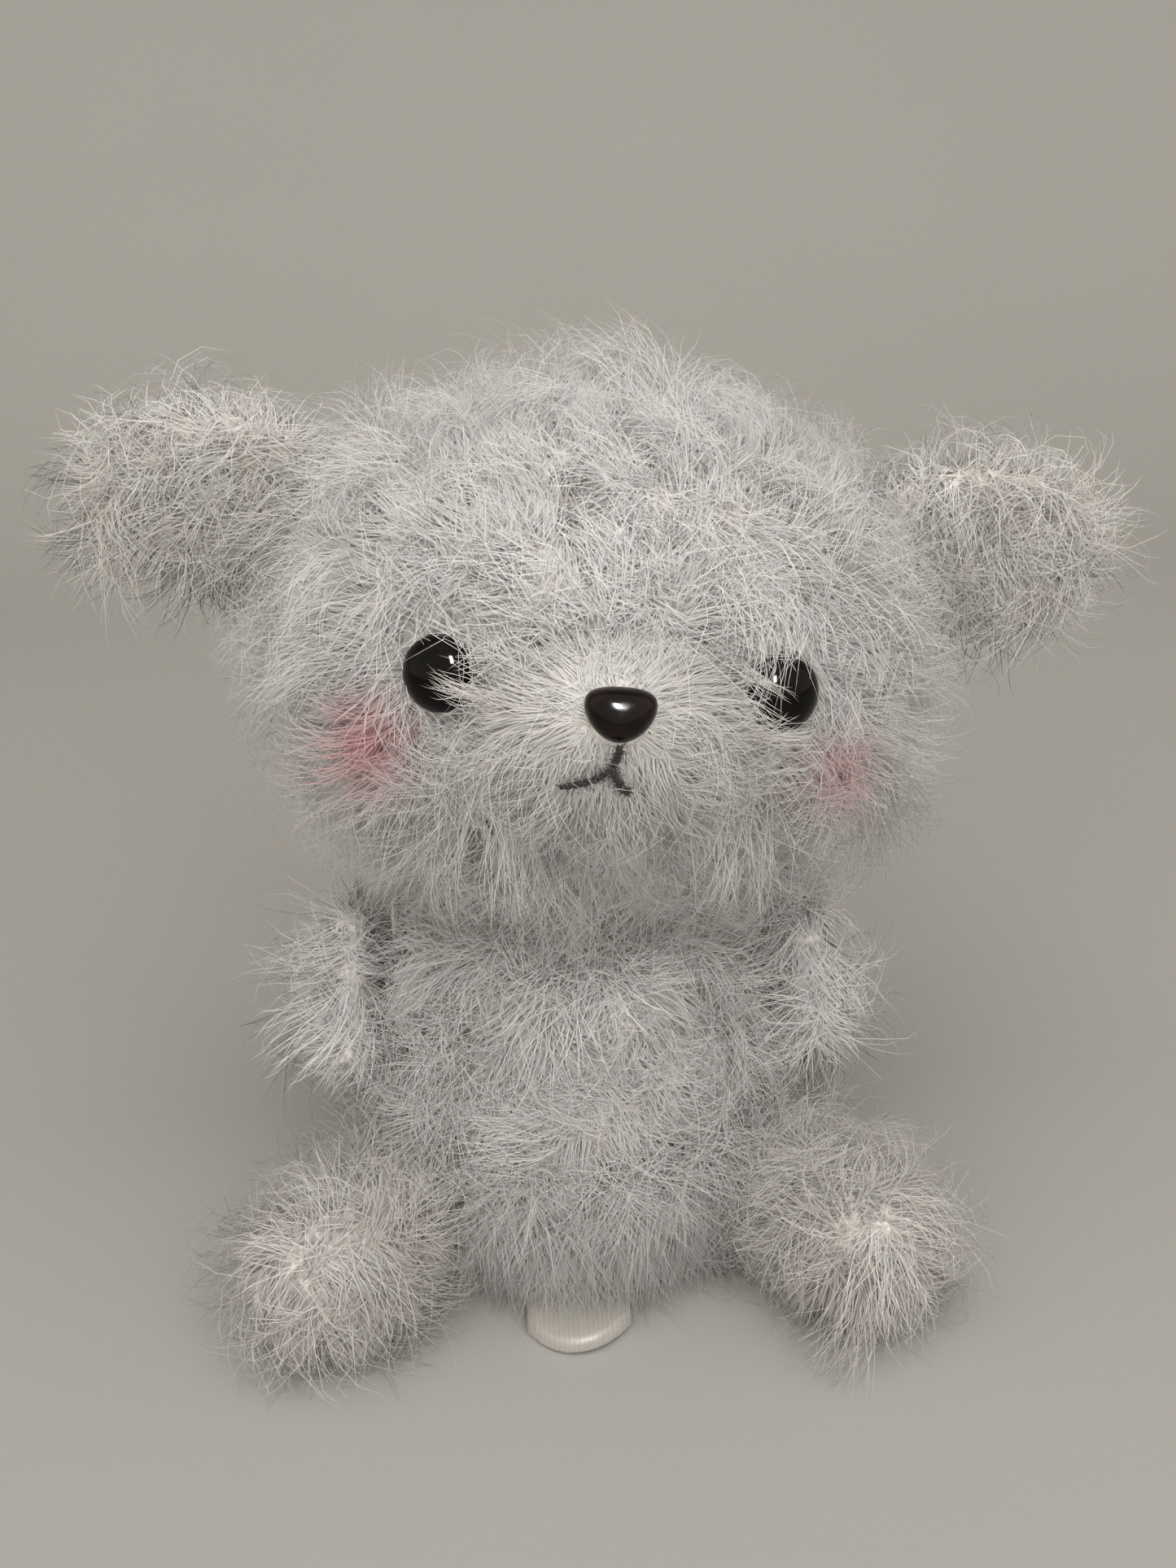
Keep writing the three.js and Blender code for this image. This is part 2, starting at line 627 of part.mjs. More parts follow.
const tail = new THREE.Group();
tail.name = 'tail';
tail.position.copy(tailPivot);
const tailBall = (grow, around) => ball(TAIL_RADIUS + grow, around, around / 2).translate(0, TAIL_OUT, 0);
const tailHole = solid(rod(FILL_HOLE_RADIUS, 0, TAIL_OUT, 12).rotateX(-Math.PI / 2));
const tailCover = solid(tailBall(0, 16)).subtract(solid(tailBall(-THIN_COVER, 12))).subtract(tailHole);
tail.add(piece('tail_cover', tailCover, 'pile'));
tail.add(piece('tail_stuffing', tailBall(-THIN_COVER - 2 * GAP, 12), 'stuffing'));
dog.add(tail);

// ---------------------------------------------------------------- care tag

/** A ribbon folded into a flat loop, its two ends at Y = 0 and its fold at Y = -TAG_LENGTH. */
function tagLoop() {
  const half = TAG_LOOP_GAP / 2 + TAG_RIBBON;
  const inner = TAG_LOOP_GAP / 2;
  const fold = TAG_LENGTH - half;
  const outline = new THREE.Shape();
  outline.moveTo(0, -half);
  outline.lineTo(fold, -half);
  outline.absarc(fold, 0, half, -Math.PI / 2, Math.PI / 2);
  outline.lineTo(0, half);
  outline.lineTo(0, inner);
  outline.lineTo(fold, inner);
  outline.absarc(fold, 0, inner, Math.PI / 2, -Math.PI / 2, true);
  outline.lineTo(0, -inner);
  outline.closePath();
  const loop = new THREE.ExtrudeGeometry(outline, {
    depth: TAG_WIDTH,
    bevelEnabled: false,
    curveSegments: 6,
  });
  loop.translate(0, 0, -TAG_WIDTH / 2);
  loop.rotateX(Math.PI / 2);
  loop.rotateZ(-Math.PI / 2);
  return loop;
}

const tag = piece('care_tag', tagLoop(), 'satin');
tag.position.set(TAG_OFFSET, TAG_ROOT_Y, TAG_Z);
dog.add(tag);

export default dog;
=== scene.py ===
"""A sitting plush dog in long white fur pile: stuffed skins, grown pile, face trim, care tag and studio."""

import json
import logging
import math
from dataclasses import dataclass, field
from enum import Enum
from typing import Any, Callable, Optional, Sequence

import bpy
import numpy as np
from mathutils import Matrix, Vector

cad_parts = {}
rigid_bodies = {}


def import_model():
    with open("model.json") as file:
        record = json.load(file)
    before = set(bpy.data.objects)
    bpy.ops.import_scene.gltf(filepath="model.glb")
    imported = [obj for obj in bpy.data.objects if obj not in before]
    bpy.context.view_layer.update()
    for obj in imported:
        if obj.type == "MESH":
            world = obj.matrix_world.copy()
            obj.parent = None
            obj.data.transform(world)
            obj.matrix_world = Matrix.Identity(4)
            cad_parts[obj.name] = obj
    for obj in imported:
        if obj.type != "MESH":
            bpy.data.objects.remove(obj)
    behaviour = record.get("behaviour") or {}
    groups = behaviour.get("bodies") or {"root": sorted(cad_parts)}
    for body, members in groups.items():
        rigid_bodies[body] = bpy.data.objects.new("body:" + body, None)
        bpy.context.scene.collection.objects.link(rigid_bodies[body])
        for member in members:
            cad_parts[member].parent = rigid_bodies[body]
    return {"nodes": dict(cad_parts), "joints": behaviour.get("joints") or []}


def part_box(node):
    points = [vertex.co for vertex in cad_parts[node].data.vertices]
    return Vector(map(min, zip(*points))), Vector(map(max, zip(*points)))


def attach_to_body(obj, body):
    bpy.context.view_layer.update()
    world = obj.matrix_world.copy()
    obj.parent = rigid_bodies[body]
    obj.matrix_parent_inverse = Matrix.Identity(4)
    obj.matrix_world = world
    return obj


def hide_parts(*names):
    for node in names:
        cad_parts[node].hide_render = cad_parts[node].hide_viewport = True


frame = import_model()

Array = np.ndarray
Tree = bpy.types.NodeTree
Socket = bpy.types.NodeSocket
Material = bpy.types.Material
Piece = bpy.types.Object
Flow = Callable[[Array, Array], Array]
MM = 0.001
BLUSH_PINK = "F6B9C0"
# Arms hang this far in front of straight down, and legs splay this far from straight ahead.
LIMB_ANGLE = math.radians(34)
LOG = logging.getLogger("plush_dog")


class Side(Enum):
    """The dog's own left and right."""

    LEFT = 1
    RIGHT = -1

    @property
    def word(self) -> str:
        """The side's name as the frame spells it."""
        return self.name.lower()


# ---------------------------------------------------------------- colour and nodes


def linear(code: str) -> tuple[float, float, float, float]:
    """Turns an sRGB hex colour into the linear colour that a shader socket takes.

    Args:
        code: six hex digits.

    Returns:
        Linear red, green and blue, and an alpha of 1.
    """
    channels = [int(code[i : i + 2], 16) / 255 for i in (0, 2, 4)]
    red, green, blue = (c / 12.92 if c <= 0.04045 else ((c + 0.055) / 1.055) ** 2.4 for c in channels)
    return (red, green, blue, 1.0)


def add_node(
    tree: Tree, kind: str, sockets: Optional[dict] = None, **settings: Any
) -> bpy.types.Node:
    """Adds one node with its settings, and fills or links its inputs.

    Args:
        tree: the material's node tree.
        kind: the node's type name.
        sockets: input name or number to a plain value or to another node's output.
        **settings: the node's own properties.

    Returns:
        The new node.
    """
    node = tree.nodes.new(kind)
    for name, value in settings.items():
        setattr(node, name, value)
    for name, value in (sockets or {}).items():
        if isinstance(value, Socket):
            tree.links.new(value, node.inputs[name])
        else:
            node.inputs[name].default_value = value
    return node


def blank_material(name: str) -> tuple[Material, Tree]:
    """Makes a material with an empty node tree.

    Args:
        name: its name.

    Returns:
        The material and its node tree.
    """
    material = bpy.data.materials.new(name)
    material.use_nodes = True
    material.node_tree.nodes.clear()
    return material, material.node_tree


def mixed(tree: Tree, factor: Any, low: Any, high: Any, blend: str = "MIX") -> Socket:
    """Blends two colours and returns the result's socket."""
    sockets = {0: factor, 6: low, 7: high}
    return add_node(tree, "ShaderNodeMix", sockets, data_type="RGBA", blend_type=blend).outputs[2]


def ramped(tree: Tree, value: Any, low: float, high: float, top: float = 1.0) -> Socket:
    """Maps low..high to 0..top with soft ends and returns the socket."""
    sockets = {"Value": value, "From Min": low, "From Max": high, "To Min": 0.0, "To Max": top}
    return add_node(tree, "ShaderNodeMapRange", sockets, interpolation_type="SMOOTHSTEP").outputs[0]


def noise(tree: Tree, place: Socket, scale: float, detail: float) -> Socket:
    """A cloudy noise, `scale` cells to the metre, as a number from 0 to 1."""
    sockets = {"Vector": place, "Scale": scale, "Detail": detail}
    return add_node(tree, "ShaderNodeTexNoise", sockets).outputs["Fac"]


def bumped(tree: Tree, height: Socket, strength: float, distance: float, **settings: Any) -> Socket:
    """Turns a height into a normal; `distance` is the full height in metres."""
    sockets = {"Height": height, "Strength": strength, "Distance": distance}
    return add_node(tree, "ShaderNodeBump", sockets, **settings).outputs["Normal"]


def surfaced(tree: Tree, sockets: dict) -> Socket:
    """Makes a principled surface, sends it to the output and returns its socket.

    Args:
        tree: the material's node tree.
        sockets: input name to a plain value or another node's output.

    Returns:
        Its socket.
    """
    surface = add_node(tree, "ShaderNodeBsdfPrincipled", sockets).outputs[0]
    add_node(tree, "ShaderNodeOutputMaterial", {"Surface": surface})
    return surface


@dataclass(frozen=True)
class Blush:
    """A round pink patch brushed on the pile.

    Attributes:
        middle: a point on the cheek, in metres.
        outward: the cheek's outward direction, along which the colour doesn't change.
        radius: where the colour has faded out, in metres.
        strength: how much of the tint the middle takes.
        reach: how deep the tint goes before it has faded out, in metres.
    """

    middle: tuple[float, float, float]
    outward: tuple[float, float, float]
    radius: float
    strength: float
    reach: float = 30 * MM

    def amount(self, tree: Tree, place: Socket) -> Socket:
        """Tint amount at a place.

        It falls off with the distance from the line through the middle along outward, and with
        depth, so that the back of the head stays white.

        Args:
            tree: the material's nodes.
            place: the Object coordinate.

        Returns:
            The amount's socket.
        """
        kind = "ShaderNodeVectorMath"
        away = add_node(tree, kind, {0: place, 1: self.middle}, operation="SUBTRACT").outputs[0]
        cross = add_node(tree, kind, {0: away, 1: self.outward}, operation="CROSS_PRODUCT").outputs[0]
        size = add_node(tree, kind, {0: cross}, operation="LENGTH").outputs["Value"]
        depth = add_node(tree, kind, {0: away, 1: self.outward}, operation="DOT_PRODUCT").outputs["Value"]
        patch = ramped(tree, size, self.radius, 0.0, self.strength)
        near = ramped(tree, depth, -self.reach, -self.reach / 2)
        return add_node(tree, "ShaderNodeMath", {0: patch, 1: near}, operation="MULTIPLY").outputs[0]


@dataclass(frozen=True)
class PileFinish:
    """Acrylic fur pile: soft crimped fibres, bright at the tips and painted greyer towards the backing, a
    painted shade among the strands' feet.

    Light goes on through the fine fibres, which keeps the gaps between them pale, and the gloss is
    broad, with a little sheen at grazing angles.

    Attributes:
        name: the material's name.
        tip: colour of the whitest strands' ends.
        warm_tip: colour of the warmest strands' ends.
        foot: colour where strands leave the backing, a painted shade; the slow patches also blend towards it
            as a random tone.
        blushes: the pink patches on it.
        roughness: how broad the gloss is.
        glow: share of light that passes through a strand.
        tuft_mm: size of the patches in which tufts differ a little.
        crimp_mm: pitch of the fibres' crimp, about twice the real one.
    """

    name: str
    tip: str = "FDFCFB"
    warm_tip: str = "FAF8F5"
    foot: str = "F2EDE8"
    blushes: tuple[Blush, ...] = ()
    roughness: float = 0.5
    glow: float = 0.45
    tuft_mm: float = 8.0
    crimp_mm: float = 0.5

    def build(self) -> Material:
        """Colour from each strand's own tone and its length, with painted shade towards the foot, patched with
        a slow noise and the blushes.

        Returns:
            The material.
        """
        material, tree = blank_material(self.name)
        place = add_node(tree, "ShaderNodeTexCoord").outputs["Object"]
        along = add_node(tree, "ShaderNodeAttribute", attribute_name="along").outputs["Fac"]
        tone = add_node(tree, "ShaderNodeAttribute", attribute_name="tone").outputs["Fac"]
        patch = noise(tree, place, 1000.0 / self.tuft_mm, 2.0)
        tips = mixed(tree, tone, linear(self.tip), linear(self.warm_tip))
        tips = mixed(tree, ramped(tree, patch, 0.35, 0.75, 0.35), tips, linear(self.foot))
        # Painted shade: each strand darkens towards its foot, where shade falls among the strands.
        colour = mixed(tree, ramped(tree, along, -0.35, 0.55), linear(self.foot), tips)
        for blush in self.blushes:
            colour = mixed(tree, blush.amount(tree, place), colour, linear(BLUSH_PINK), "MULTIPLY")
        crimp = noise(tree, place, 1000.0 / self.crimp_mm, 1.0)
        sockets = {
            "Base Color": colour,
            "Roughness": self.roughness,
            "IOR": 1.5,
            "Sheen Weight": 0.3,
            "Sheen Roughness": 0.4,
            "Normal": bumped(tree, crimp, 0.25, 0.1 * MM),
        }
        solid = add_node(tree, "ShaderNodeBsdfPrincipled", sockets).outputs[0]
        through = add_node(tree, "ShaderNodeBsdfTranslucent", {"Color": colour}).outputs[0]
        both = add_node(tree, "ShaderNodeMixShader", {0: self.glow, 1: solid, 2: through}).outputs[0]
        add_node(tree, "ShaderNodeOutputMaterial", {"Surface": both})
        return material


@dataclass(frozen=True)
class WovenFinish:
    """Knitted backing, fibre fill or sewing thread: matt, with small even bumps from its yarns.

    Attributes:
        name: the material's name.
        light: colour on top of the yarns.
        dark: colour in the gaps.
        pitch_mm: distance between yarns.
        roughness: how matt it is.
        sheen: soft edge light from loose fibre ends.
        blushes: the pink patches on it.
    """

    name: str
    light: str
    dark: str
    pitch_mm: float
    roughness: float = 0.9
    sheen: float = 0.2
    blushes: tuple[Blush, ...] = ()

    def build(self) -> Material:
        """Cells one pitch wide, light on their humps and dark between them, plus a slow tone change.

        Returns:
            The material.
        """
        material, tree = blank_material(self.name)
        place = add_node(tree, "ShaderNodeTexCoord").outputs["Object"]
        scale = 1000.0 / self.pitch_mm
        cells = add_node(tree, "ShaderNodeTexVoronoi", {"Vector": place, "Scale": scale, "Randomness": 0.6})
        slow = noise(tree, place, scale / 12, 3.0)
        gaps = ramped(tree, cells.outputs["Distance"], 0.2, 0.8)
        colour = mixed(tree, gaps, linear(self.light), linear(self.dark))
        colour = mixed(tree, ramped(tree, slow, 0.4, 0.8, 0.4), colour, linear(self.dark))
        for blush in self.blushes:
            colour = mixed(tree, blush.amount(tree, place), colour, linear(BLUSH_PINK), "MULTIPLY")
        sockets = {
            "Base Color": colour,
            "Roughness": self.roughness,
            "IOR": 1.45,
            "Sheen Weight": self.sheen,
            "Sheen Roughness": 0.5,
            "Normal": bumped(tree, cells.outputs["Distance"], 0.6, self.pitch_mm * MM / 4, invert=True),
        }
        surfaced(tree, sockets)
        return material


@dataclass(frozen=True)
class MouldedPlastic:
    """Injection-moulded plastic trim: polished eyes and nose, or a plain matt washer.

    Attributes:
        name: the material's name.
        body: main colour.
        hint: colour of faint flow clouds under the gloss.
        roughness: typical roughness of the moulded skin.
        gloss: how much it mirrors, as the shader's specular level.
        grain_mm: size of the mould texture.
        grain: height of the mould texture in millimetres.
        cloud_mm: size of the flow clouds.
        mark_mm: size of the handling marks.
    """

    name: str
    body: str
    hint: str
    roughness: float
    gloss: float
    grain_mm: float
    grain: float
    cloud_mm: float = 4.5
    mark_mm: float = 1.1

    def build(self) -> Material:
        """Two close colours in slow clouds, fine handling marks in the roughness and a shallow grain.

        Returns:
            The material.
        """
        material, tree = blank_material(self.name)
        place = add_node(tree, "ShaderNodeTexCoord").outputs["Object"]
        cloud = ramped(tree, noise(tree, place, 1000.0 / self.cloud_mm, 2.0), 0.4, 0.7)
        marks = noise(tree, place, 1000.0 / self.mark_mm, 4.0)
        spread = {"Value": marks, "From Min": 0.35, "From Max": 0.75}
        spread.update({"To Min": self.roughness, "To Max": self.roughness + 0.08})
        grain = noise(tree, place, 1000.0 / self.grain_mm, 1.0)
        sockets = {
            "Base Color": mixed(tree, cloud, linear(self.body), linear(self.hint)),
            "Roughness": add_node(tree, "ShaderNodeMapRange", spread).outputs["Result"],
            "IOR": 1.5,
            "Specular IOR Level": self.gloss,
            "Normal": bumped(tree, grain, 0.3, self.grain * MM),
        }
        surfaced(tree, sockets)
        return material


@dataclass(frozen=True)
class SatinRibbon:
    """Woven satin ribbon: thin, pale and half see-through, shiny along its long threads. Its grey colours are
    painted shade from the belly over it.

    Attributes:
        name: the material's name.
        light: colour on top of the threads.
        dark: colour between them.
        rib_mm: pitch of the ribs, a few threads together, because single threads are too fine to draw.
    """

    name: str = "satin_ribbon"
    # Both colours are greyer than the pale satin: painted shade from the belly that hangs over the tag.
    light: str = "A9A59E"
    dark: str = "9E9A93"
    rib_mm: float = 0.8

    def build(self) -> Material:
        """Threads run along the ribbon as fine ribs.

        Returns:
            The material.
        """
        material, tree = blank_material(self.name)
        place = add_node(tree, "ShaderNodeTexCoord").outputs["Object"]
        # The wave node makes 20 / (2 pi) bands to a unit at scale 1.
        scale = 1000.0 / self.rib_mm * math.pi / 10
        wave = {"Vector": place, "Scale": scale, "Distortion": 0.6, "Detail": 1.0}
        ribs = add_node(tree, "ShaderNodeTexWave", wave, bands_direction="X").outputs["Fac"]
        sockets = {
            "Base Color": mixed(tree, ribs, linear(self.dark), linear(self.light)),
            "Roughness": 0.48,
            "IOR": 1.5,
            "Transmission Weight": 0.22,
            "Sheen Weight": 0.2,
            "Normal": bumped(tree, ribs, 0.3, 0.06 * MM),
        }
        surfaced(tree, sockets)
        return material


# ---------------------------------------------------------------- meshes from arrays


def mesh_object(
    name: str, points: Array, corners: Array, materials: Sequence[Material], smooth: bool = True
) -> Piece:
    """Makes an object from triangles.

    Args:
        name: the piece's name.
        points: n by 3, in metres.
        corners: m by 3 vertex numbers, anticlockwise from outside.
        materials: the piece's materials.
        smooth: whether faces are shaded smooth.

    Returns:
        The object, linked to the scene.
    """
    mesh = bpy.data.meshes.new(name)
    mesh.vertices.add(len(points))
    mesh.vertices.foreach_set("co", np.ascontiguousarray(points, np.float32).ravel())
    mesh.loops.add(3 * len(corners))
    mesh.loops.foreach_set("vertex_index", np.ascontiguousarray(corners, np.int32).ravel())
    mesh.polygons.add(len(corners))
    mesh.polygons.foreach_set("loop_start", np.arange(len(corners), dtype=np.int32) * 3)
    mesh.polygons.foreach_set("use_smooth", np.full(len(corners), smooth))
    mesh.update(calc_edges=True)
    for material in materials:
        mesh.materials.append(material)
    piece = bpy.data.objects.new(name, mesh)
    bpy.context.scene.collection.objects.link(piece)
    return piece


def stacked(rings: Array, first: Array, last: Array) -> tuple[Array, Array]:
    """Joins rings of points into a closed surface with a pole at each end.

    Row i is joined to row i + 1 all the way round, and the first and last rows to their poles.

    Args:
        rings: rows by steps by 3, each row anticlockwise seen from the last pole.
        first: the pole before the first row.
        last: the pole after the last row.

    Returns:
        Points and triangles.
    """
    rows, steps = rings.shape[:2]
    points = np.concatenate([rings.reshape(-1, 3), [first], [last]])
    index = np.arange(rows * steps).reshape(rows, steps)
    after = np.roll(index, -1, axis=1)
    a, b, c, d = index[:-1], after[:-1], after[1:], index[1:]
    sides = np.concatenate([np.stack([a, b, c], -1).reshape(-1, 3), np.stack([a, c, d], -1).reshape(-1, 3)])
    start = np.stack([after[0], index[0], np.full(steps, rows * steps)], -1)
    end = np.stack([index[-1], after[-1], np.full(steps, rows * steps + 1)], -1)
    return points, np.concatenate([sides, start, end])


def turned_surface(profile: Array, steps: int) -> tuple[Array, Array]:
    """Turns (radius, height) pairs about Z; the first and last pair lie on the axis.

    Args:
        profile: (radius, height) pairs from pole to pole.
        steps: how many points go round.

    Returns:
        Points and triangles.
    """
    angle = np.linspace(0, 2 * math.pi, steps, endpoint=False)
    inner = profile[1:-1]
    rings = np.stack(
        [
            inner[:, :1] * np.cos(angle),
            inner[:, :1] * np.sin(angle),
            np.repeat(inner[:, 1:], steps, axis=1),
        ],
        -1,
    )
    first, last = (np.array([0.0, 0.0, profile[i, 1]]) for i in (0, -1))
    return stacked(rings, first, last)


def ellipsoid_surface(half: Sequence[float], rows: int = 40, steps: int = 64) -> tuple[Array, Array]:
    """x = a sin v cos u, y = b sin v sin u, z = -c cos v, with v from pole to pole and u once round.

    Args:
        half: the three half sizes.
        rows: how many rows there are from pole to pole.
        steps: how many points go round.

    Returns:
        Points and triangles.
    """
    v = np.linspace(0, math.pi, rows)
    points, corners = turned_surface(np.stack([np.sin(v), -np.cos(v)], -1), steps)
    return points * np.asarray(half), corners


def limb_surface(radius: float, length: float, swell: float, steps: int = 40) -> tuple[Array, Array]:
    """A round-ended limb along -Y, its radius growing by swell towards the far end.

    The profile is a quarter circle, a side that widens by a smooth step, and a quarter circle.

    Args:
        radius: the near end's radius.
        length: from root to the middle of the far end.
        swell: how much wider the far end is.
        steps: how many points go round.

    Returns:
        Points and triangles.
    """
    t = np.linspace(0, math.pi / 2, 12)
    far = radius + swell
    side = np.linspace(0, 1, 14)[1:-1]
    wide = radius + swell * side**2 * (3 - 2 * side)
    profile = np.concatenate(
        [
            np.stack([radius * np.sin(t), -radius * np.cos(t)], -1),
            np.stack([wide, side * length], -1),
            np.stack([far * np.cos(t), length + far * np.sin(t)], -1),
        ]
    )
    points, corners = turned_surface(profile, steps)
    return points[:, [0, 2, 1]] * [1, -1, 1], corners


def smooth_curve(knots: Array, count: int) -> Array:
    """A Catmull-Rom curve through the knots, sampled evenly in its parameter.

    Args:
        knots: the points that the curve passes.
        count: how many points come back.

    Returns:
        The sampled points.
    """
    padded = np.concatenate([2 * knots[:1] - knots[1:2], knots, 2 * knots[-1:] - knots[-2:-1]])
    t = np.linspace(0, len(knots) - 1, count)
    i = np.minimum(t.astype(int), len(knots) - 2)
    f = (t - i)[:, None]
    p0, p1, p2, p3 = (padded[i + k] for k in range(4))
    return 0.5 * (
        2 * p1 + (p2 - p0) * f + (2 * p0 - 5 * p1 + 4 * p2 - p3) * f**2 + (3 * p1 - p0 - 3 * p2 + p3) * f**3
    )


def unit(vectors: Array) -> Array:
    """Vectors scaled to length 1."""
    return vectors / np.maximum(np.linalg.norm(vectors, axis=-1, keepdims=True), 1e-12)


def frame_from(origin: Sequence[float], up: Sequence[float], back: Sequence[float] = (0, 1, 0)) -> Matrix:
    """A place whose Z is `up` and whose Y is as near `back` as it can be.

    Args:
        origin: where it is.
        up: its Z.
        back: the direction nearest its Y.

    Returns:
        The place.
    """
    z = Vector(up).normalized()
    x = Vector(back).cross(z).normalized()
    y = z.cross(x)
    turn = Matrix((x, y, z)).transposed().to_4x4()
    return Matrix.Translation(Vector(origin)) @ turn


def placed(points: Array, place: Matrix) -> Array:
    """Points moved by a matrix."""
    m = np.array(place)
    return points @ m[:3, :3].T + m[:3, 3]


def pivot_of(joint: str) -> Vector:
    """Where a joint turns."""
    return Vector(next(j["pos_m"] for j in frame["joints"] if j["name"] == joint))


def axis_of(joint: str) -> Vector:
    """The axis that a joint turns about."""
    return Vector(next(j["axis"] for j in frame["joints"] if j["name"] == joint))


def attach(piece: Piece, body: str, slot: str, *nodes: str) -> Piece:
    """Makes a piece ride on a body, in place of the CAD nodes it stands for.

    Args:
        piece: the finished piece.
        body: the body that it moves with.
        slot: the kind of finish; not used.
        *nodes: the nodes that it replaces, if any.

    Returns:
        The piece.
    """
    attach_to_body(piece, body)
    if nodes:
        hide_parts(*nodes)
    return piece


# ---------------------------------------------------------------- stuffed skins


@dataclass
class Skin:
    """The closed cloth skin of a stuffed piece, which pile can grow on.

    Attributes:
        name: the piece's name.
        points: its vertices in metres.
        corners: its triangles.
    """

    name: str
    points: Array
    corners: Array

    def lumpy(self, height: float, seed: float) -> "Skin":
        """Moves the skin along its normals by a sum of slow sines, as hand-packed fill does.

        Args:
            height: the most that a point moves, in metres.
            seed: shifts the sines.

        Returns:
            This skin.
        """
        p = self.points / 0.006
        wave = (
            np.sin(p[:, 0] + seed)
            + np.sin(p[:, 1] * 1.3 + 2 * seed)
            + np.sin(p[:, 2] * 1.1 + 3 * seed)
            + np.sin((p[:, 0] - p[:, 1] + p[:, 2]) * 0.7 + seed)
        )
        self.points = self.points + self.normals() * (wave * height / 4)[:, None]
        return self

    def normals(self) -> Array:
        """Area-weighted vertex normals.

        Returns:
            Unit normals, one for each vertex.
        """
        a, b, c = (self.points[self.corners[:, k]] for k in range(3))
        face = np.cross(b - a, c - a)
        total = np.zeros_like(self.points)
        for k in range(3):
            np.add.at(total, self.corners[:, k], face)
        return unit(total)

    def filled(self, voxel: float, cap: float) -> "Skin":
        """Remeshes the skin in even cells, runs it as cloth round its fill, and smooths it.

        The cloth runs for twenty frames under pressure, without gravity. On skins this small it
        moves a point by 0.3 mm at most, so the even cells and the smoothing make the difference
        in shape: they leave the skin 0.3 to 0.9 mm inside where it started, on average.

        Args:
            voxel: size of the remeshed cloth's cells, in metres.
            cap: the furthest the cloth may move a point, in metres.

        Returns:
            This skin with its remeshed and smoothed shape.
        """
        scene = bpy.context.scene
        cloth = mesh_object(self.name + "_cloth", self.points, self.corners, [])
        cloth.modifiers.new("cells", "REMESH").voxel_size = voxel
        view = bpy.context.evaluated_depsgraph_get()
        even = bpy.data.meshes.new_from_object(cloth.evaluated_get(view))
        cloth.modifiers.clear()
        cloth.data = even
        rest = read_points(even)
        fill = cloth.modifiers.new("fill", "CLOTH")
        fill.settings.use_pressure = True
        fill.settings.uniform_pressure_force = 4.0
        fill.settings.effector_weights.gravity = 0.0
        fill.point_cache.frame_start, fill.point_cache.frame_end = 1, 20
        for step in range(1, 21):
            scene.frame_set(step)
        view = bpy.context.evaluated_depsgraph_get()
        blown = bpy.data.meshes.new_from_object(cloth.evaluated_get(view))
        shift = read_points(blown) - rest
        size = np.linalg.norm(shift, axis=1, keepdims=True)
        moved = rest + shift * np.minimum(1, cap / np.maximum(size, 1e-9))
        cloth.modifiers.clear()
        cloth.data = blown
        blown.vertices.foreach_set("co", moved.astype(np.float32).ravel())
        cloth.modifiers.new("smooth", "SUBSURF").levels = 1
        cloth.modifiers["smooth"].render_levels = 1
        view = bpy.context.evaluated_depsgraph_get()
        fine = bpy.data.meshes.new_from_object(cloth.evaluated_get(view))
        fine.calc_loop_triangles()
        self.points = read_points(fine)
        corners = np.empty(3 * len(fine.loop_triangles), np.int32)
        fine.loop_triangles.foreach_get("vertices", corners)
        self.corners = corners.reshape(-1, 3)
        bpy.data.objects.remove(cloth)
        scene.frame_set(1)
        return self

    def sewn(self, material: Material, body: str, nodes: Sequence[str], fill: float) -> "Skin":
        """Makes the skin a piece that rides on a body and stands for its CAD covers.

        Args:
            material: the finish.
            body: the body that it moves with.
            nodes: the CAD covers that it stands for.
            fill: how firmly it is stuffed, 0 to 1; not used.

        Returns:
            This skin.
        """
        piece = attach(mesh_object(self.name, self.points, self.corners, [material]), body, "pile", *nodes)
        return self


def read_points(mesh: bpy.types.Mesh) -> Array:
    """A mesh's vertices as an n by 3 array.

    Args:
        mesh: the mesh.

    Returns:
        The vertices.
    """
    found = np.empty(3 * len(mesh.vertices), np.float32)
    mesh.vertices.foreach_get("co", found)
    return found.reshape(-1, 3).astype(float)


# ---------------------------------------------------------------- pile


@dataclass(frozen=True)
class Parting:
    """A round post that pile is pushed aside from, such as an eye.

    Attributes:
        foot: a point on its axis.
        axis: its outward direction.
        radius: how wide the parting is, in metres.
    """

    foot: Array
    axis: Array
    radius: float

    def part(self, path: Array, share: Array) -> Array:
        """Pushes points inside the post out to its wall, as far as `share` says for each strand.

        Args:
            path: strands by points by 3.
            share: how far each strand is pushed, 0 to 1.

        Returns:
            The moved points.
        """
        away = path - self.foot
        height = away @ self.axis
        flat = away - height[..., None] * self.axis
        size = np.maximum(np.linalg.norm(flat, axis=-1), 1e-9)
        push = np.clip(self.radius - size, 0, None) * (height > -0.004) * share[:, None]
        return path + flat * (push / size)[..., None]


@dataclass(frozen=True)
class Layer:
    """One layer of pile.

    Attributes:
        per_mm2: strands for each square millimetre of skin.
        length: shortest and longest strand, in millimetres.
        width: thickness of a strand at its foot, in millimetres.
        lift: least and most angle from the skin, in degrees.
        joints: rings of points along a strand.
        crimp: side-to-side wander of a strand, in millimetres.
        tuft: distance between tufts, in millimetres.
        pull: how far tips gather into their tuft, 0 to 1.
        sag: how much tips hang, as a share of length.
        stray: how much a strand leaves its tuft's direction.
        roll: least and most angle that a strand curls over from foot to tip, in degrees.
    """

    per_mm2: float
    length: tuple[float, float]
    width: float
    lift: tuple[float, float]
    joints: int
    crimp: float
    tuft: float
    pull: float = 0.45
    sag: float = 0.2
    stray: float = 0.35
    roll: tuple[float, float] = (5, 30)


MOST_TRIANGLES = 190_000
LAYER_WORDS = ("under", "guard", "wisps")


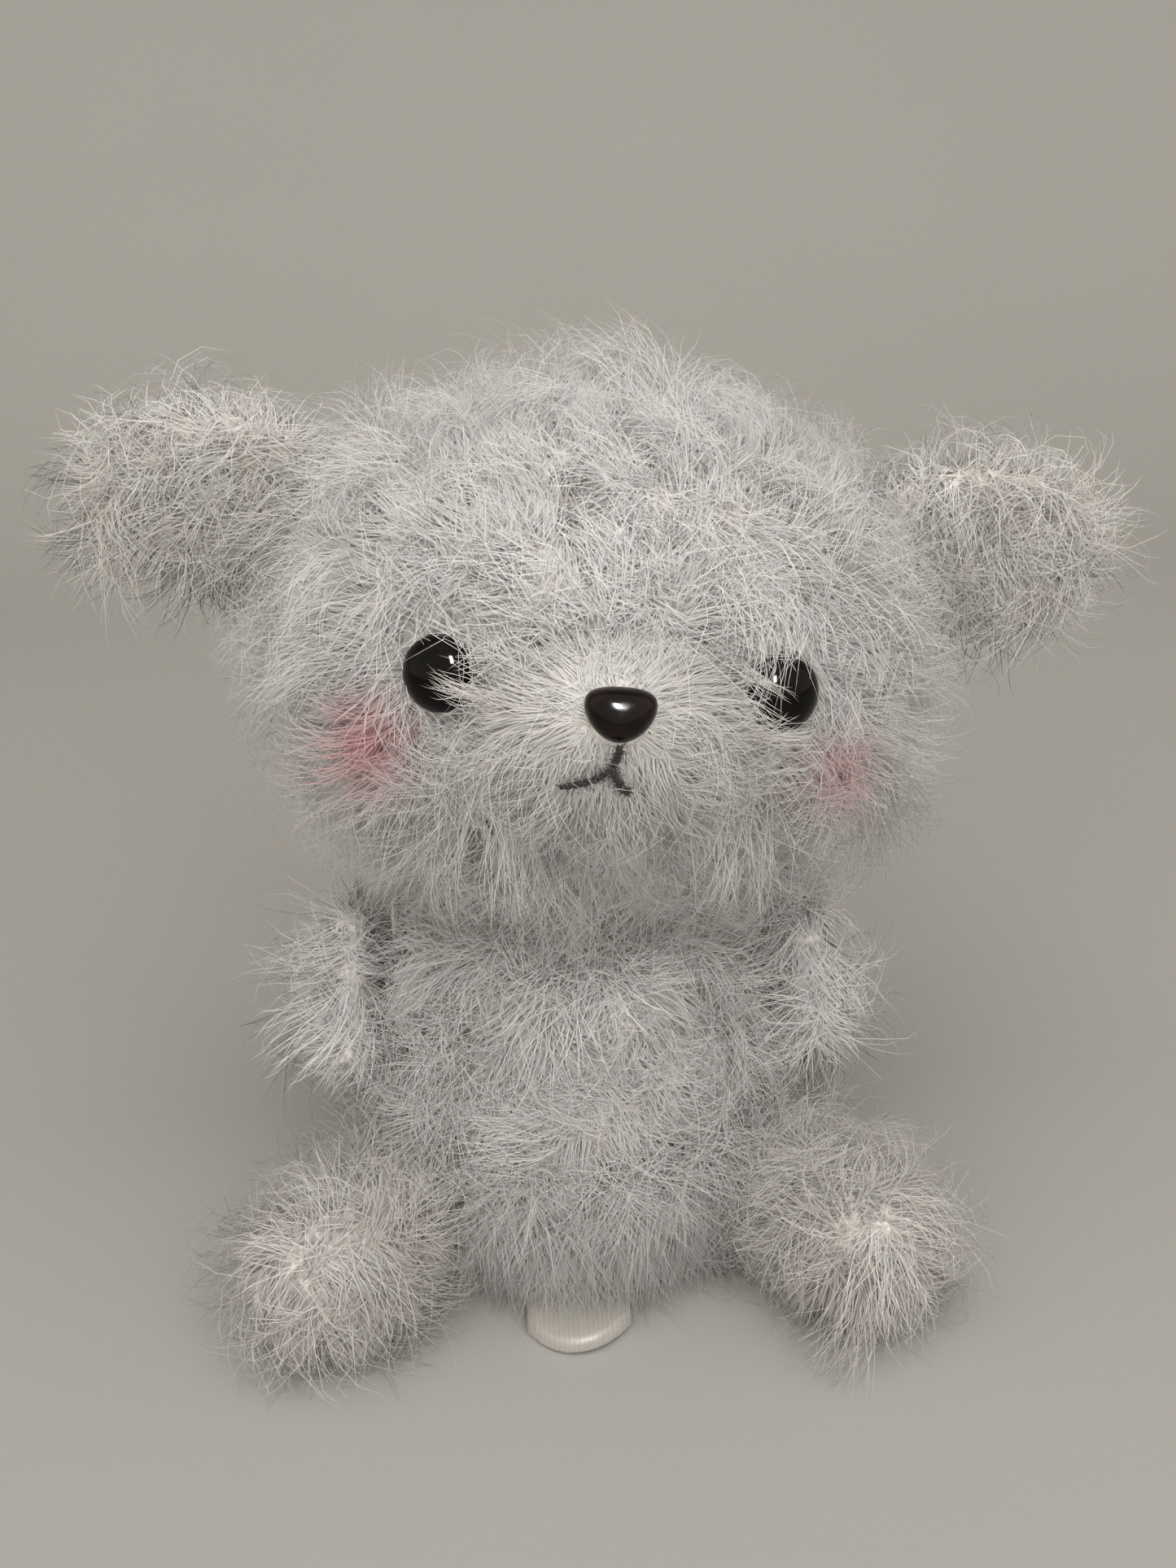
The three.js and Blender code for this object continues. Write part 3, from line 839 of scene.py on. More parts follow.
@dataclass
class Pile:
    """Fur pile grown on a skin as closed three-sided strands that taper to a point."""

    name: str
    skin: Skin
    layers: Sequence[Layer]
    comb: Flow
    keep: Flow
    seed: int
    partings: Sequence[Parting] = ()
    shorten: Optional[Callable[[Array], Array]] = None
    wild: float = 1.0

    def roots(self, layer: Layer, rng: np.random.Generator) -> tuple[Array, Array]:
        """Strews roots evenly over the skin by area, and drops those that `keep` refuses.

        Args:
            layer: the layer, which says how many.
            rng: the layer's own seeded generator.

        Returns:
            Points and outward normals.
        """
        a, b, c = (self.skin.points[self.skin.corners[:, k]] for k in range(3))
        area = np.linalg.norm(np.cross(b - a, c - a), axis=1) / 2
        count = int(area.sum() * 1e6 * layer.per_mm2)
        pick = np.sort(rng.choice(len(area), count, p=area / area.sum()))
        s, t = np.sqrt(rng.random(count)), rng.random(count)
        weight = np.stack([1 - s, s * (1 - t), s * t], -1)[..., None]
        corner = self.skin.corners[pick]
        points = (self.skin.points[corner] * weight).sum(1)
        normals = unit((self.skin.normals()[corner] * weight).sum(1))
        kept = self.keep(points, normals)
        return points[kept], normals[kept]

    @staticmethod
    def tufts(points: Array, spacing: float, rng: np.random.Generator) -> Array:
        """The number of the tuft centre nearest to each root.

        Args:
            points: the roots.
            spacing: distance between tufts.
            rng: seeded generator.

        Returns:
            For each root, the number of the root that is its tuft's centre.
        """
        span = np.ptp(points, axis=0)
        area = 2 * (span[0] * span[1] + span[1] * span[2] + span[0] * span[2]) * 0.6
        count = int(np.clip(area / spacing**2, 4, len(points)))
        centres = rng.choice(len(points), count, replace=False)
        near = np.empty(len(points), np.int64)
        for start in range(0, len(points), 4000):
            block = points[start : start + 4000]
            gap = ((block[:, None] - points[centres][None]) ** 2).sum(-1)
            near[start : start + 4000] = centres[gap.argmin(1)]
        return near

    def paths(self, layer: Layer, rng: np.random.Generator) -> tuple[Array, Array, Array]:
        """Each strand's centre line.

        With s from 0 at the foot to 1 at the tip and r the angle it rolls over, a strand is at
        root + length * (way * sin(r s) / r + over * (1 - cos(r s)) / r + sag * down * s^2)
        + crimp * (two sines of s), plus pull * s^1.5 times the way to its tuft's centre. A tuft's
        strands share most of their way, which lies between the combed tangent and the normal, and
        most of the direction in which they roll over.

        Args:
            layer: the layer's sizes.
            rng: the layer's own seeded generator.

        Returns:
            Paths (strands by joints + 1 by 3), each strand's tone and the skin's normal at its foot.
        """
        points, normals = self.roots(layer, rng)
        count = len(points)
        near = self.tufts(points, layer.tuft * MM, rng)
        tuft_noise, own_noise = rng.normal(size=(count, 3))[near], rng.normal(size=(count, 3))
        drift = self.comb(points, normals) + self.wild * tuft_noise + layer.stray * own_noise
        tangent = unit(drift - (drift * normals).sum(-1, keepdims=True) * normals)
        low, high = np.radians(layer.lift)
        lift = low + (high - low) * (0.6 * rng.random(count)[near] + 0.4 * rng.random(count))
        way = tangent * np.cos(lift)[:, None] + normals * np.sin(lift)[:, None]
        short, long = (size * MM for size in layer.length)
        length = short + (long - short) * (0.65 * rng.random(count)[near] + 0.35 * rng.random(count))
        if self.shorten is not None:
            length = length * self.shorten(points)
        s = np.linspace(0, 1, layer.joints + 1)
        down = np.array([0.0, 0.0, -layer.sag])
        least, most = np.radians(layer.roll)
        roll = least + (most - least) * (0.6 * rng.random(count)[near] + 0.4 * rng.random(count))
        aside = rng.normal(size=(count, 3))[near] + 0.6 * rng.normal(size=(count, 3)) - 0.4 * normals
        over = unit(aside - (aside * way).sum(-1, keepdims=True) * way)
        turned = roll[:, None] * s
        path = points[:, None] + length[:, None, None] * (
            way[:, None] * (np.sin(turned) / roll[:, None])[..., None]
            + over[:, None] * ((1 - np.cos(turned)) / roll[:, None])[..., None]
            + down * s[:, None] ** 2
        )
        gather = (points[near] - points)[:, None] * (layer.pull * s**1.5)[:, None]
        side = unit(np.cross(way, normals + 1e-6))
        other = np.cross(way, side)
        turns = rng.uniform(0.7, 1.7, (count, 1)) * 2 * math.pi * s
        phase = rng.uniform(0, 2 * math.pi, (2, count, 1))
        swing = layer.crimp * MM * np.minimum(1, 2 * s)
        path += gather
        path += side[:, None] * (np.sin(turns + phase[0]) * swing)[..., None]
        path += other[:, None] * (np.cos(1.3 * turns + phase[1]) * swing)[..., None]
        share = (rng.random(count) > 0.02).astype(float)
        for parting in self.partings:
            path = parting.part(path, share)
        path[..., 2] = np.maximum(path[..., 2], 0.0004)
        return path, rng.random(count), normals

    def grow(self, material: Material, body: str) -> list[Piece]:
        """Grows every layer and cuts it into pieces small enough for one mesh.

        Args:
            material: the pile's finish.
            body: the body that the pieces ride on.

        Returns:
            The pieces.
        """
        pieces = []
        for number, layer in enumerate(self.layers):
            rng = np.random.default_rng(self.seed * 10 + number)
            path, tone, normals = self.paths(layer, rng)
            each = 6 * (layer.joints - 1) + 4
            blocks = max(1, math.ceil(len(path) * each / MOST_TRIANGLES))
            for part in range(blocks):
                rows = slice(len(path) * part // blocks, len(path) * (part + 1) // blocks)
                name = f"{self.name}_{LAYER_WORDS[number]}_{part + 1}"
                width = layer.width * MM
                piece = strand_object(name, path[rows], tone[rows], width, material, normals[rows])
                pieces.append(attach(piece, body, "pile"))
        return pieces


def strand_object(
    name: str,
    path: Array,
    tone: Array,
    width: float,
    material: Material,
    normals: Optional[Array] = None,
) -> Piece:
    """Makes closed strands round centre lines.

    Each ring is a triangle square to the path, of radius width / 2 * (1 - 0.75 s), and the last
    point is the tip. The strands also get the attributes along (0 foot, 1 tip) and tone, and a
    map on which every strand has a square cell of its own.

    Args:
        name: the piece's name.
        path: strands by points by 3.
        tone: a number from 0 to 1 for each strand.
        width: thickness at the foot.
        material: the finish.
        normals: the skin's normals at the feet, which soften the strands' own shading.

    Returns:
        The piece.
    """
    count, rings = path.shape[0], path.shape[1] - 1
    ahead = unit(np.gradient(path, axis=1))[:, :rings]
    helper = unit(np.stack([tone - 0.5, 0.5 - tone**2, np.full(count, 0.7)], -1))[:, None]
    side = unit(np.cross(ahead, helper))
    other = np.cross(ahead, side)
    s = np.linspace(0, 1, rings + 1)[:rings]
    radius = (width / 2 * (1 - 0.75 * s))[None, :, None, None]
    angle = np.array([0, 2, 4]) * math.pi / 3
    around = side[:, :, None] * np.cos(angle)[:, None] + other[:, :, None] * np.sin(angle)[:, None]
    skin = path[:, :rings, None] + radius * around
    per = 3 * rings + 1
    points = np.concatenate([skin.reshape(count, -1, 3), path[:, -1:]], axis=1).reshape(-1, 3)
    template = []
    for ring in range(rings - 1):
        for k in range(3):
            a, b = 3 * ring + k, 3 * ring + (k + 1) % 3
            template += [[a, b, b + 3], [a, b + 3, a + 3]]
    last = 3 * (rings - 1)
    template += [[last + k, last + (k + 1) % 3, per - 1] for k in range(3)] + [[0, 2, 1]]
    shape = np.array(template)
    corners = (np.arange(count)[:, None, None] * per + shape).reshape(-1, 3)
    piece = mesh_object(name, points, corners, [material])
    along = np.append(np.repeat(s, 3), 1.0)
    for word, values in (("along", np.tile(along, count)), ("tone", np.repeat(tone, per))):
        attribute = piece.data.attributes.new(word, "FLOAT", "POINT")
        attribute.data.foreach_set("value", values.astype(np.float32))
    across = np.append(np.tile([0.1, 0.5, 0.9], rings), 0.5)
    cells = math.ceil(math.sqrt(count))
    cell = np.stack([np.arange(count) % cells, np.arange(count) // cells], -1)
    spot = np.stack([across, 0.08 + 0.84 * along], -1)
    uv = (cell[:, None, None] + spot[shape][None]) / cells
    layer = piece.data.uv_layers.new(name="OFBake")
    layer.uv.foreach_set("vector", uv.astype(np.float32).ravel())
    if normals is not None:
        own = np.concatenate([np.broadcast_to(around, skin.shape).reshape(count, -1, 3), ahead[:, -1:]], 1)
        soft = unit(0.15 * own + normals[:, None])
        piece.data.normals_split_custom_set_from_vertices(soft.reshape(-1, 3))
    return piece


# ---------------------------------------------------------------- the dog


@dataclass
class Kit:
    """The finishes that every part of the dog shares."""

    blushes: tuple[Blush, ...]
    pile: Material = field(init=False)
    muzzle: Material = field(init=False)
    lining: Material = field(init=False)
    worn: Material = field(init=False)
    backing: Material = field(init=False)

    def __post_init__(self) -> None:
        """Builds the shared materials."""
        self.pile = PileFinish("acrylic_fur_pile", blushes=self.blushes).build()
        self.muzzle = PileFinish("muzzle_fur_pile", "F6F4F2", "F3F0EC", "EFECE8").build()
        self.lining = PileFinish("ear_lining_pile", warm_tip="F8F4EE", foot="F1EAE0").build()
        # The legs' pile is a darker white as painted shade: the feet sit low, where less light reaches.
        self.worn = PileFinish("foot_fur_pile", "F3F0EC", "EEEAE5", "E5DFD8").build()
        self.backing = WovenFinish(
            "knitted_backing", "F0EDE8", "CFC9C1", 1.6, blushes=self.blushes
        ).build()


COAT = (
    Layer(
        per_mm2=2.5, length=(4.5, 8.5), width=0.43, lift=(40, 85), joints=1, crimp=0, tuft=5,
        pull=0.4, sag=0.1, stray=0.5,
    ),
    Layer(
        per_mm2=1.02, length=(9, 22), width=0.18, lift=(40, 85), joints=4, crimp=0.6, tuft=6.5,
        pull=0.45, sag=0.12, stray=0.35, roll=(50, 160),
    ),
    Layer(
        per_mm2=0.07, length=(14, 24), width=0.11, lift=(35, 80), joints=6, crimp=1.3, tuft=6,
        pull=0.2, sag=0.2, stray=0.6, roll=(60, 220),
    ),
)


@dataclass
class Head:
    """The big round head: an egg lying on its side, tilted a little, on the neck's ball."""

    kit: Optional[Kit] = None
    width: float = 101 * MM
    depth: float = 88 * MM
    height: float = 79 * MM
    inset: float = 2 * MM
    cheek: tuple[float, float] = (33 * MM, -6.5 * MM)
    eye: tuple[float, float] = (23.5 * MM, 7 * MM)
    eye_radius: float = 5.5 * MM
    place: Matrix = field(init=False)

    def __post_init__(self) -> None:
        """Finds the head's middle and tilt from the frame."""
        left, right = ((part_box(f"eye_{s.word}")[0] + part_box(f"eye_{s.word}")[1]) / 2 for s in Side)
        tilt = math.atan2(right.z - left.z, left.x - right.x)
        low, high = (Vector(c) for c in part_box("head_cover"))
        reach = math.hypot(self.width / 2 * math.sin(tilt), self.height / 2 * math.cos(tilt))
        middle = Vector(((low.x + high.x) / 2, (low.y + high.y) / 2, high.z - reach))
        self.place = Matrix.Translation(middle) @ Matrix.Rotation(tilt, 4, "Y")

    def front(self, x: float, z: float, inset: float = 0.0) -> tuple[Vector, Vector]:
        """The point and outward direction of the face at (x, z) from the head's middle.

        Args:
            x: across, towards the dog's left.
            z: up.
            inset: depth below the surface.

        Returns:
            Point and unit normal in the row frame.
        """
        a, b, c = self.width / 2, self.depth / 2, self.height / 2
        y = -b * math.sqrt(1 - (x / a) ** 2 - (z / c) ** 2)
        normal = Vector((x / a**2, y / b**2, z / c**2)).normalized()
        point = self.place @ (Vector((x, y, z)) - normal * inset)
        return point, (self.place.to_3x3() @ normal).normalized()

    def blushes(self) -> tuple[Blush, ...]:
        """The two cheek patches, the dog's right one stronger.

        Returns:
            The patches.
        """
        found = []
        for side, strength, radius in ((Side.LEFT, 0.6, 11 * MM), (Side.RIGHT, 0.85, 11.5 * MM)):
            point, outward = self.front(side.value * self.cheek[0], self.cheek[1])
            found.append(Blush(tuple(point), tuple(outward), radius, strength))
        return tuple(found)

    def local(self, points: Array) -> Array:
        """Points in the head's own frame."""
        return placed(points, self.place.inverted())

    def inside(self, points: Array, grow: float = 0.0) -> Array:
        """Whether points are inside the head's outside surface, `grow` larger."""
        half = np.array([self.width, self.depth, self.height]) / 2 + grow
        return ((self.local(points) / half) ** 2).sum(-1) < 1

    def partings(self) -> list[Parting]:
        """The posts that keep pile off the eyes.

        Returns:
            The posts.
        """
        found = []
        for side in Side:
            point, outward = self.front(side.value * self.eye[0], self.eye[1], 3 * MM)
            found.append(Parting(np.array(point), np.array(outward), self.eye_radius))
        return found

    def over(self, x: Array, z: Array, height: Array) -> Array:
        """Points `height` above the face at (x, z), as the face's ellipsoid and its normal give them.

        Args:
            x: across, in metres.
            z: up, in metres.
            height: how far above the face, in metres.

        Returns:
            The points.
        """
        a, b, c = self.width / 2, self.depth / 2, self.height / 2
        y = -b * np.sqrt(1 - (x / a) ** 2 - (z / c) ** 2)
        normal = unit(np.stack([x / a**2, y / b**2, z / c**2], -1))
        return placed(np.stack([x, y, z], -1) + normal * height[..., None], self.place)

    def locks(self) -> list[Piece]:
        """Loose locks that lie over the eyes from the nose's side.

        A strand's height over the face is 0.5 mm + rise * sin(s * 90 degrees), and its line bends by
        two sines of s.

        Returns:
            The pieces.
        """
        rng = np.random.default_rng(77)
        made = []
        # Foot across and up, reach across and up, and how many strands, in millimetres, for each lock.
        plan = {
            Side.RIGHT: ((14.5, 5.5, 7.6, 1.6, 30), (15.0, 4.0, 6.6, 2.6, 16), (15.5, 11.0, 3.6, -2.2, 12)),
            Side.LEFT: (
                (15.5, 11.5, 5.4, -4.0, 18),
                (15.0, 7.5, 5.6, -3.2, 16),
                (15.5, 3.5, 8.6, -1.2, 22),
                (17.0, 1.5, 5.4, 2.6, 14),
            ),
        }
        s = np.linspace(0, 1, 8)[None]
        for side, locks in plan.items():
            paths = []
            for foot_x, foot_z, reach_x, reach_z, count in locks:
                spread = rng.normal(size=(4, count, 1)) * 0.45 * MM
                x = foot_x * MM + spread[0] + (reach_x * MM + 2 * spread[1]) * s
                z = foot_z * MM + spread[2] + (reach_z * MM + 1.6 * spread[3]) * s
                turns = rng.uniform(2.5, 6, (2, count, 1)) * s + rng.uniform(0, 6, (2, count, 1))
                x += 0.35 * MM * np.sin(turns[0])
                z += 0.45 * MM * np.sin(turns[1])
                height = 0.5 * MM + (4.0 * MM + spread[0]) * np.sin(s * math.pi / 2)
                paths.append(self.over(side.value * x, z, height))
            path = np.concatenate(paths)
            tone = rng.random(len(path))
            piece = strand_object(f"eye_lock_{side.word}", path, tone, 0.17 * MM, self.kit.muzzle)
            made.append(attach(piece, "head", "pile"))
        return made

    def comb(self, points: Array, normals: Array) -> Array:
        """Pile flows away from the nose on the face, and down from the crown elsewhere.

        Args:
            points: n by 3, in metres.
            normals: the skin's outward normals there.

        Returns:
            The directions, not of unit length.
        """
        own = self.local(points)
        away = own - np.array([0, -self.depth / 2, 6 * MM])
        face = np.clip(1 - np.linalg.norm(away, axis=1) / (34 * MM), 0, 1)[:, None]
        turn = np.array(self.place.to_3x3())
        return face * 1.6 * unit(away) @ turn.T + (1 - face) * np.array([0, 0, -0.35])

    def build(self) -> Skin:
        """Sews the skin and grows its pile.

        Returns:
            The skin.
        """
        half = np.array([self.width, self.depth, self.height]) / 2 - self.inset - 0.8 * MM
        points, corners = ellipsoid_surface(half)
        skin = Skin("head_skin", placed(points, self.place), corners).filled(5 * MM, 1.5 * MM)
        skin.lumpy(1.3 * MM, 1.0).sewn(self.kit.backing, "head", ["head_cover"], 0.85)
        muzzle = Muzzle(self)
        pivot = np.array(pivot_of("head_nod"))
        eyes = [np.array(self.front(s.value * self.eye[0], self.eye[1])[0]) for s in Side]

        def keep(roots: Array, normals: Array) -> Array:
            """Roots off the muzzle, the eyes and the neck.

            Args:
                roots: the feet of the strands.
                normals: the skin's outward normals there.

            Returns:
                True where a root stays.
            """
            clear = ~muzzle.inside(roots, -1.5 * MM)
            for spot in eyes:
                clear &= np.linalg.norm(roots - spot, axis=1) > self.eye_radius + 0.3 * MM
            return clear & (np.linalg.norm(roots - pivot, axis=1) > 17 * MM)

        def shorten(roots: Array) -> Array:
            """Shorter pile round the eyes."""
            gap = np.min([np.linalg.norm(roots - spot, axis=1) for spot in eyes], axis=0)
            return np.clip(0.45 + (gap - 5 * MM) / (9 * MM) * 0.55, 0.45, 1)

        pile = Pile("head_pile", skin, COAT, self.comb, keep, 1, self.partings(), shorten)
        pile.grow(self.kit.pile, "head")
        self.locks()
        return skin


@dataclass
class Muzzle:
    """The sewn-on muzzle: a low egg on the front of the face, its pile lying outwards from the nose."""

    head: Head
    width: float = 35 * MM
    depth: float = 26 * MM
    height: float = 28 * MM
    out: float = 41 * MM
    up: float = 2 * MM
    nose_up: float = 6.5 * MM
    place: Matrix = field(init=False)

    def __post_init__(self) -> None:
        """Places the muzzle on the head."""
        self.place = self.head.place @ Matrix.Translation((0, -self.out, self.up))

    def inside(self, points: Array, grow: float = 0.0) -> Array:
        """Whether points are inside the muzzle's outside surface, `grow` larger."""
        half = np.array([self.width, self.depth, self.height]) / 2 + grow
        return ((placed(points, self.place.inverted()) / half) ** 2).sum(-1) < 1

    def front(self, x: float, z: float, inset: float = 0.0) -> tuple[Vector, Vector]:
        """The point and outward direction of the muzzle's front at (x, z) from its middle.

        Args:
            x: across, in metres.
            z: up, in metres.
            inset: depth below the surface.

        Returns:
            Point and unit normal.
        """
        a, b, c = self.width / 2, self.depth / 2, self.height / 2
        y = -b * math.sqrt(1 - (x / a) ** 2 - (z / c) ** 2)
        normal = Vector((x / a**2, y / b**2, z / c**2)).normalized()
        point = self.place @ (Vector((x, y, z)) - normal * inset)
        return point, (self.place.to_3x3() @ normal).normalized()

    def comb(self, points: Array, normals: Array) -> Array:
        """Pile flows straight away from the nose."""
        nose, _ = self.front(0, self.nose_up)
        return 3.0 * unit(points - np.array(nose)) + np.array([0, 0, -0.3])

    def build(self) -> Skin:
        """Sews the skin and grows its pile.

        Returns:
            The skin.
        """
        half = np.array([self.width, self.depth, self.height]) / 2 - 2 * MM
        points, corners = ellipsoid_surface(half, 28, 44)
        skin = Skin("muzzle_skin", placed(points, self.place), corners)
        skin.sewn(self.head.kit.backing, "head", ["muzzle_cover"], 0.7)
        nose, axis = (np.array(v) for v in self.front(0, self.nose_up, 2 * MM))

        def keep(roots: Array, normals: Array) -> Array:
            """Roots on the part that stands out of the head, and not under the nose."""
            clear = ~self.head.inside(roots, -self.head.inset - 1 * MM)
            return clear & (np.linalg.norm(roots - nose, axis=1) > 3.4 * MM)

        def shorten(roots: Array) -> Array:
            """Shorter pile close to the nose."""
            gap = np.linalg.norm(roots - nose, axis=1)
            return np.clip(0.35 + (gap - 3 * MM) / (10 * MM) * 0.65, 0.35, 1)

        layers = (
            Layer(
                per_mm2=4.0, length=(4, 7), width=0.42, lift=(18, 50), joints=1, crimp=0, tuft=3,
                pull=0.3, sag=0.05, stray=0.4,
            ),
            Layer(
                per_mm2=2.1, length=(7, 16), width=0.16, lift=(15, 45), joints=5, crimp=0.6, tuft=5,
                pull=0.45, sag=0.15, stray=0.35, roll=(20, 110),
            ),
            Layer(
                per_mm2=0.4, length=(12, 22), width=0.13, lift=(15, 45), joints=7, crimp=1.2,
                tuft=5, pull=0.2, sag=0.3, stray=0.6, roll=(60, 220),
            ),
        )
        posts = self.head.partings() + [Parting(nose, axis, 4.0 * MM)]
        pile = Pile("muzzle_pile", skin, layers, self.comb, keep, 2, posts, shorten, wild=0.8)
        pile.grow(self.head.kit.muzzle, "head")
        return skin


@dataclass
class Eyes:
    """Two domed safety eyes in glossy black plastic."""

    head: Head
    dome: float = 4.4 * MM
    rim: float = 0.6 * MM
    sink: float = 1.2 * MM
    shank: tuple[float, float] = (1.5 * MM, 7.4 * MM)

    def profile(self) -> Array:
        """Shank, flange and an elliptic dome, as (radius, height) from the back to the crown.

        Returns:
            (radius, height) pairs.
        """
        r = self.head.eye_radius
        t = np.linspace(0, math.pi / 2, 18)
        dome = np.stack([r * np.cos(t), self.rim + (self.dome - self.rim) * np.sin(t)], -1)
        thin, deep = self.shank
        stem = np.array([[0, -deep], [thin, -deep], [thin, 0], [r * 0.97, 0]])
        dome[-1, 0] = 0
        return np.concatenate([stem, dome])

    def build(self) -> list[Piece]:
        """Makes both eyes on their seats.

        Returns:
            The two eyes.
        """
        finish = MouldedPlastic(
            "polished_black_plastic", "060403", "0B0605", roughness=0.05, gloss=0.14, grain_mm=0.8, grain=0.004
        ).build()
        made = []
        for side in Side:
            seat, outward = self.head.front(side.value * self.head.eye[0], self.head.eye[1], self.sink)
            points, corners = turned_surface(self.profile(), 56)
            points = placed(points, frame_from(seat, outward, (0, 0, 1)))
            piece = mesh_object(f"eye_dome_{side.word}", points, corners, [finish])
            made.append(attach(piece, "head", "eye", f"eye_{side.word}"))
        return made


@dataclass
class Nose:
    """A safety nose: a rounded triangle with an arched top, domed and glossy."""

    muzzle: Muzzle
    width: float = 9.4 * MM
    height: float = 7.2 * MM
    thick: float = 3.8 * MM
    sink: float = 1.2 * MM

    def outline(self, steps: int) -> Array:
        """Four cubic curves round a triangle with its tip down, as x and y around the middle.

        Args:
            steps: how many points make each curve.

        Returns:
            The outline's points.
        """
        w, h = self.width / 2, self.height / 2
        left = np.array(
            [
                [[0, -h], [-0.55 * w, -h], [-w, -0.22 * h], [-w, 0.36 * h]],
                [[-w, 0.36 * h], [-w, 0.9 * h], [-0.55 * w, h], [0, h]],
            ]
        )
        right = left[::-1, ::-1] * [-1, 1]
        t = np.linspace(0, 1, steps, endpoint=False)[None, :, None]
        p0, p1, p2, p3 = np.concatenate([left, right])[:, :, None].swapaxes(0, 1)
        u = 1 - t
        curve = u**3 * p0 + 3 * u**2 * t * p1 + 3 * u * t**2 * p2 + t**3 * p3
        return curve.reshape(-1, 2)[::-1]

    def build(self) -> Piece:
        """Rows shrink as cos^0.8 while they rise as the sine, from a flat back to the crown.

        Returns:
            The nose.
        """
        edge = self.outline(14)
        t = np.linspace(0, math.pi / 2, 16)[:-1]
        scale = np.concatenate([[0.9], np.cos(t) ** 0.8])
        rise = np.concatenate([[0.0], 0.5 * MM + (self.thick - 0.5 * MM) * np.sin(t)])
        heights = np.broadcast_to(rise[:, None, None], (len(rise), len(edge), 1))
        rings = np.concatenate([edge[None] * scale[:, None, None], heights], -1)
        points, corners = stacked(rings, np.zeros(3), np.array([0, 0, self.thick]))
        seat, outward = self.muzzle.front(0, self.muzzle.nose_up, self.sink)
        across = self.muzzle.place.to_3x3() @ Vector((1, 0, 0))
        up = outward.cross(across).normalized()
        turn = Matrix((across, up, outward)).transposed().to_4x4()
        points = placed(points, Matrix.Translation(seat) @ turn)
        finish = MouldedPlastic(
            "moulded_nose_plastic", "0C0706", "1A100D", roughness=0.14, gloss=0.18, grain_mm=0.5, grain=0.01
        ).build()
        return attach(mesh_object("nose_cap", points, corners, [finish]), "head", "nose", "nose")


@dataclass
class Mouth:
    """Three stitches of thick black thread: a short drop from the nose and two lips."""

    muzzle: Muzzle
    thread: float = 0.95 * MM
    nose_tip: float = 3.6 * MM
    fork: float = 2.6 * MM
    shift: float = -0.7 * MM
    reach: tuple[float, float] = (2.4 * MM, 6.0 * MM)
    fall: tuple[float, float] = (3.6 * MM, 3.6 * MM)

    def spot(self, x: float, drop: float) -> Array:
        """A point on the muzzle's pile, `x` across and `drop` below the nose's seat."""
        point, outward = self.muzzle.front(x, self.muzzle.nose_up - drop)
        return np.array(point + outward * (self.thread / 2 + 0.6 * MM))

    def strands(self, line: Array, steps: int = 26) -> tuple[Array, Array]:
        """Two plies twisted round the line: each is a round tube offset by a turning vector.

        Args:
            line: the points that it passes.
            steps: how many points lie along it.

        Returns:
            Points and triangles.
        """
        centre = smooth_curve(line, steps)
        ahead = unit(np.gradient(centre, axis=0))
        side = unit(np.cross(ahead, [0.0, 1.0, 0.0]))
        other = np.cross(ahead, side)
        twist = np.linspace(0, 2 * math.pi * 3, steps)[:, None]
        taper = np.sin(np.linspace(0.35, math.pi - 0.35, steps))[:, None, None] ** 0.35
        points, corners, count = [], [], 0
        angle = np.linspace(0, 2 * math.pi, 10, endpoint=False)
        wheel = angle[None, :, None]
        ring = np.cos(wheel) * side[:, None] + np.sin(wheel) * other[:, None]
        for start in (0, math.pi):
            turn = twist + start
            middle = centre + self.thread / 4 * (np.cos(turn) * side + np.sin(turn) * other)
            rows = middle[:, None] + ring * self.thread / 3.4 * taper
            p, c = stacked(rows, middle[0], middle[-1])
            points.append(p)
            corners.append(c + count)
            count += len(p)
        return np.concatenate(points), np.concatenate(corners)

    def fuzz(self, line: Array, rng: np.random.Generator) -> tuple[Array, Array]:
        """Short loose ends of fibre that stand out of the thread in every direction.

        Args:
            line: the points that it passes.
            rng: seeded generator.

        Returns:
            Paths and tones.
        """
        centre = smooth_curve(line, 200)[rng.integers(0, 200, 260)]
        way = unit(rng.normal(size=centre.shape))
        s = np.linspace(0, 1, 4)[None, :, None]
        size = rng.uniform(0.5, 1.4, (len(centre), 1, 1)) * MM
        bend = unit(rng.normal(size=centre.shape))[:, None] * 0.5
        return centre[:, None] + size * (way[:, None] * s + bend * s**2), rng.random(len(centre))

    def build(self) -> list[Piece]:
        """Makes the drop and the lips.

        Returns:
            The stitches and their fuzz.
        """
        finish = WovenFinish("black_embroidery_thread", "1A1614", "070605", 0.3, 0.8, 0.15).build()
        tip, fork = self.nose_tip, self.nose_tip + self.fork
        stem = [self.spot(self.shift * share**2, tip * (1 - share) + fork * share) for share in (0, 0.5, 1)]
        lines = {"mouth_philtrum": np.array(stem)}
        for side, reach, fall in zip(Side, self.reach, self.fall):
            lines[f"mouth_{side.word}"] = np.array(
                [
                    self.spot(self.shift + side.value * share * reach, fork + fall * share**0.6)
                    for share in (0.04, 0.3, 0.65, 1.0)
                ]
            )
        made = []
        rng = np.random.default_rng(33)
        for node, line in lines.items():
            points, corners = self.strands(line)
            piece = mesh_object(f"{node}_stitch", points, corners, [finish])
            path, tone = self.fuzz(line, rng)
            loose = strand_object(f"{node}_fuzz", path, tone, 0.12 * MM, finish)
            made += [attach(piece, "head", "mouth_thread", node), attach(loose, "head", "mouth_thread")]
        return made


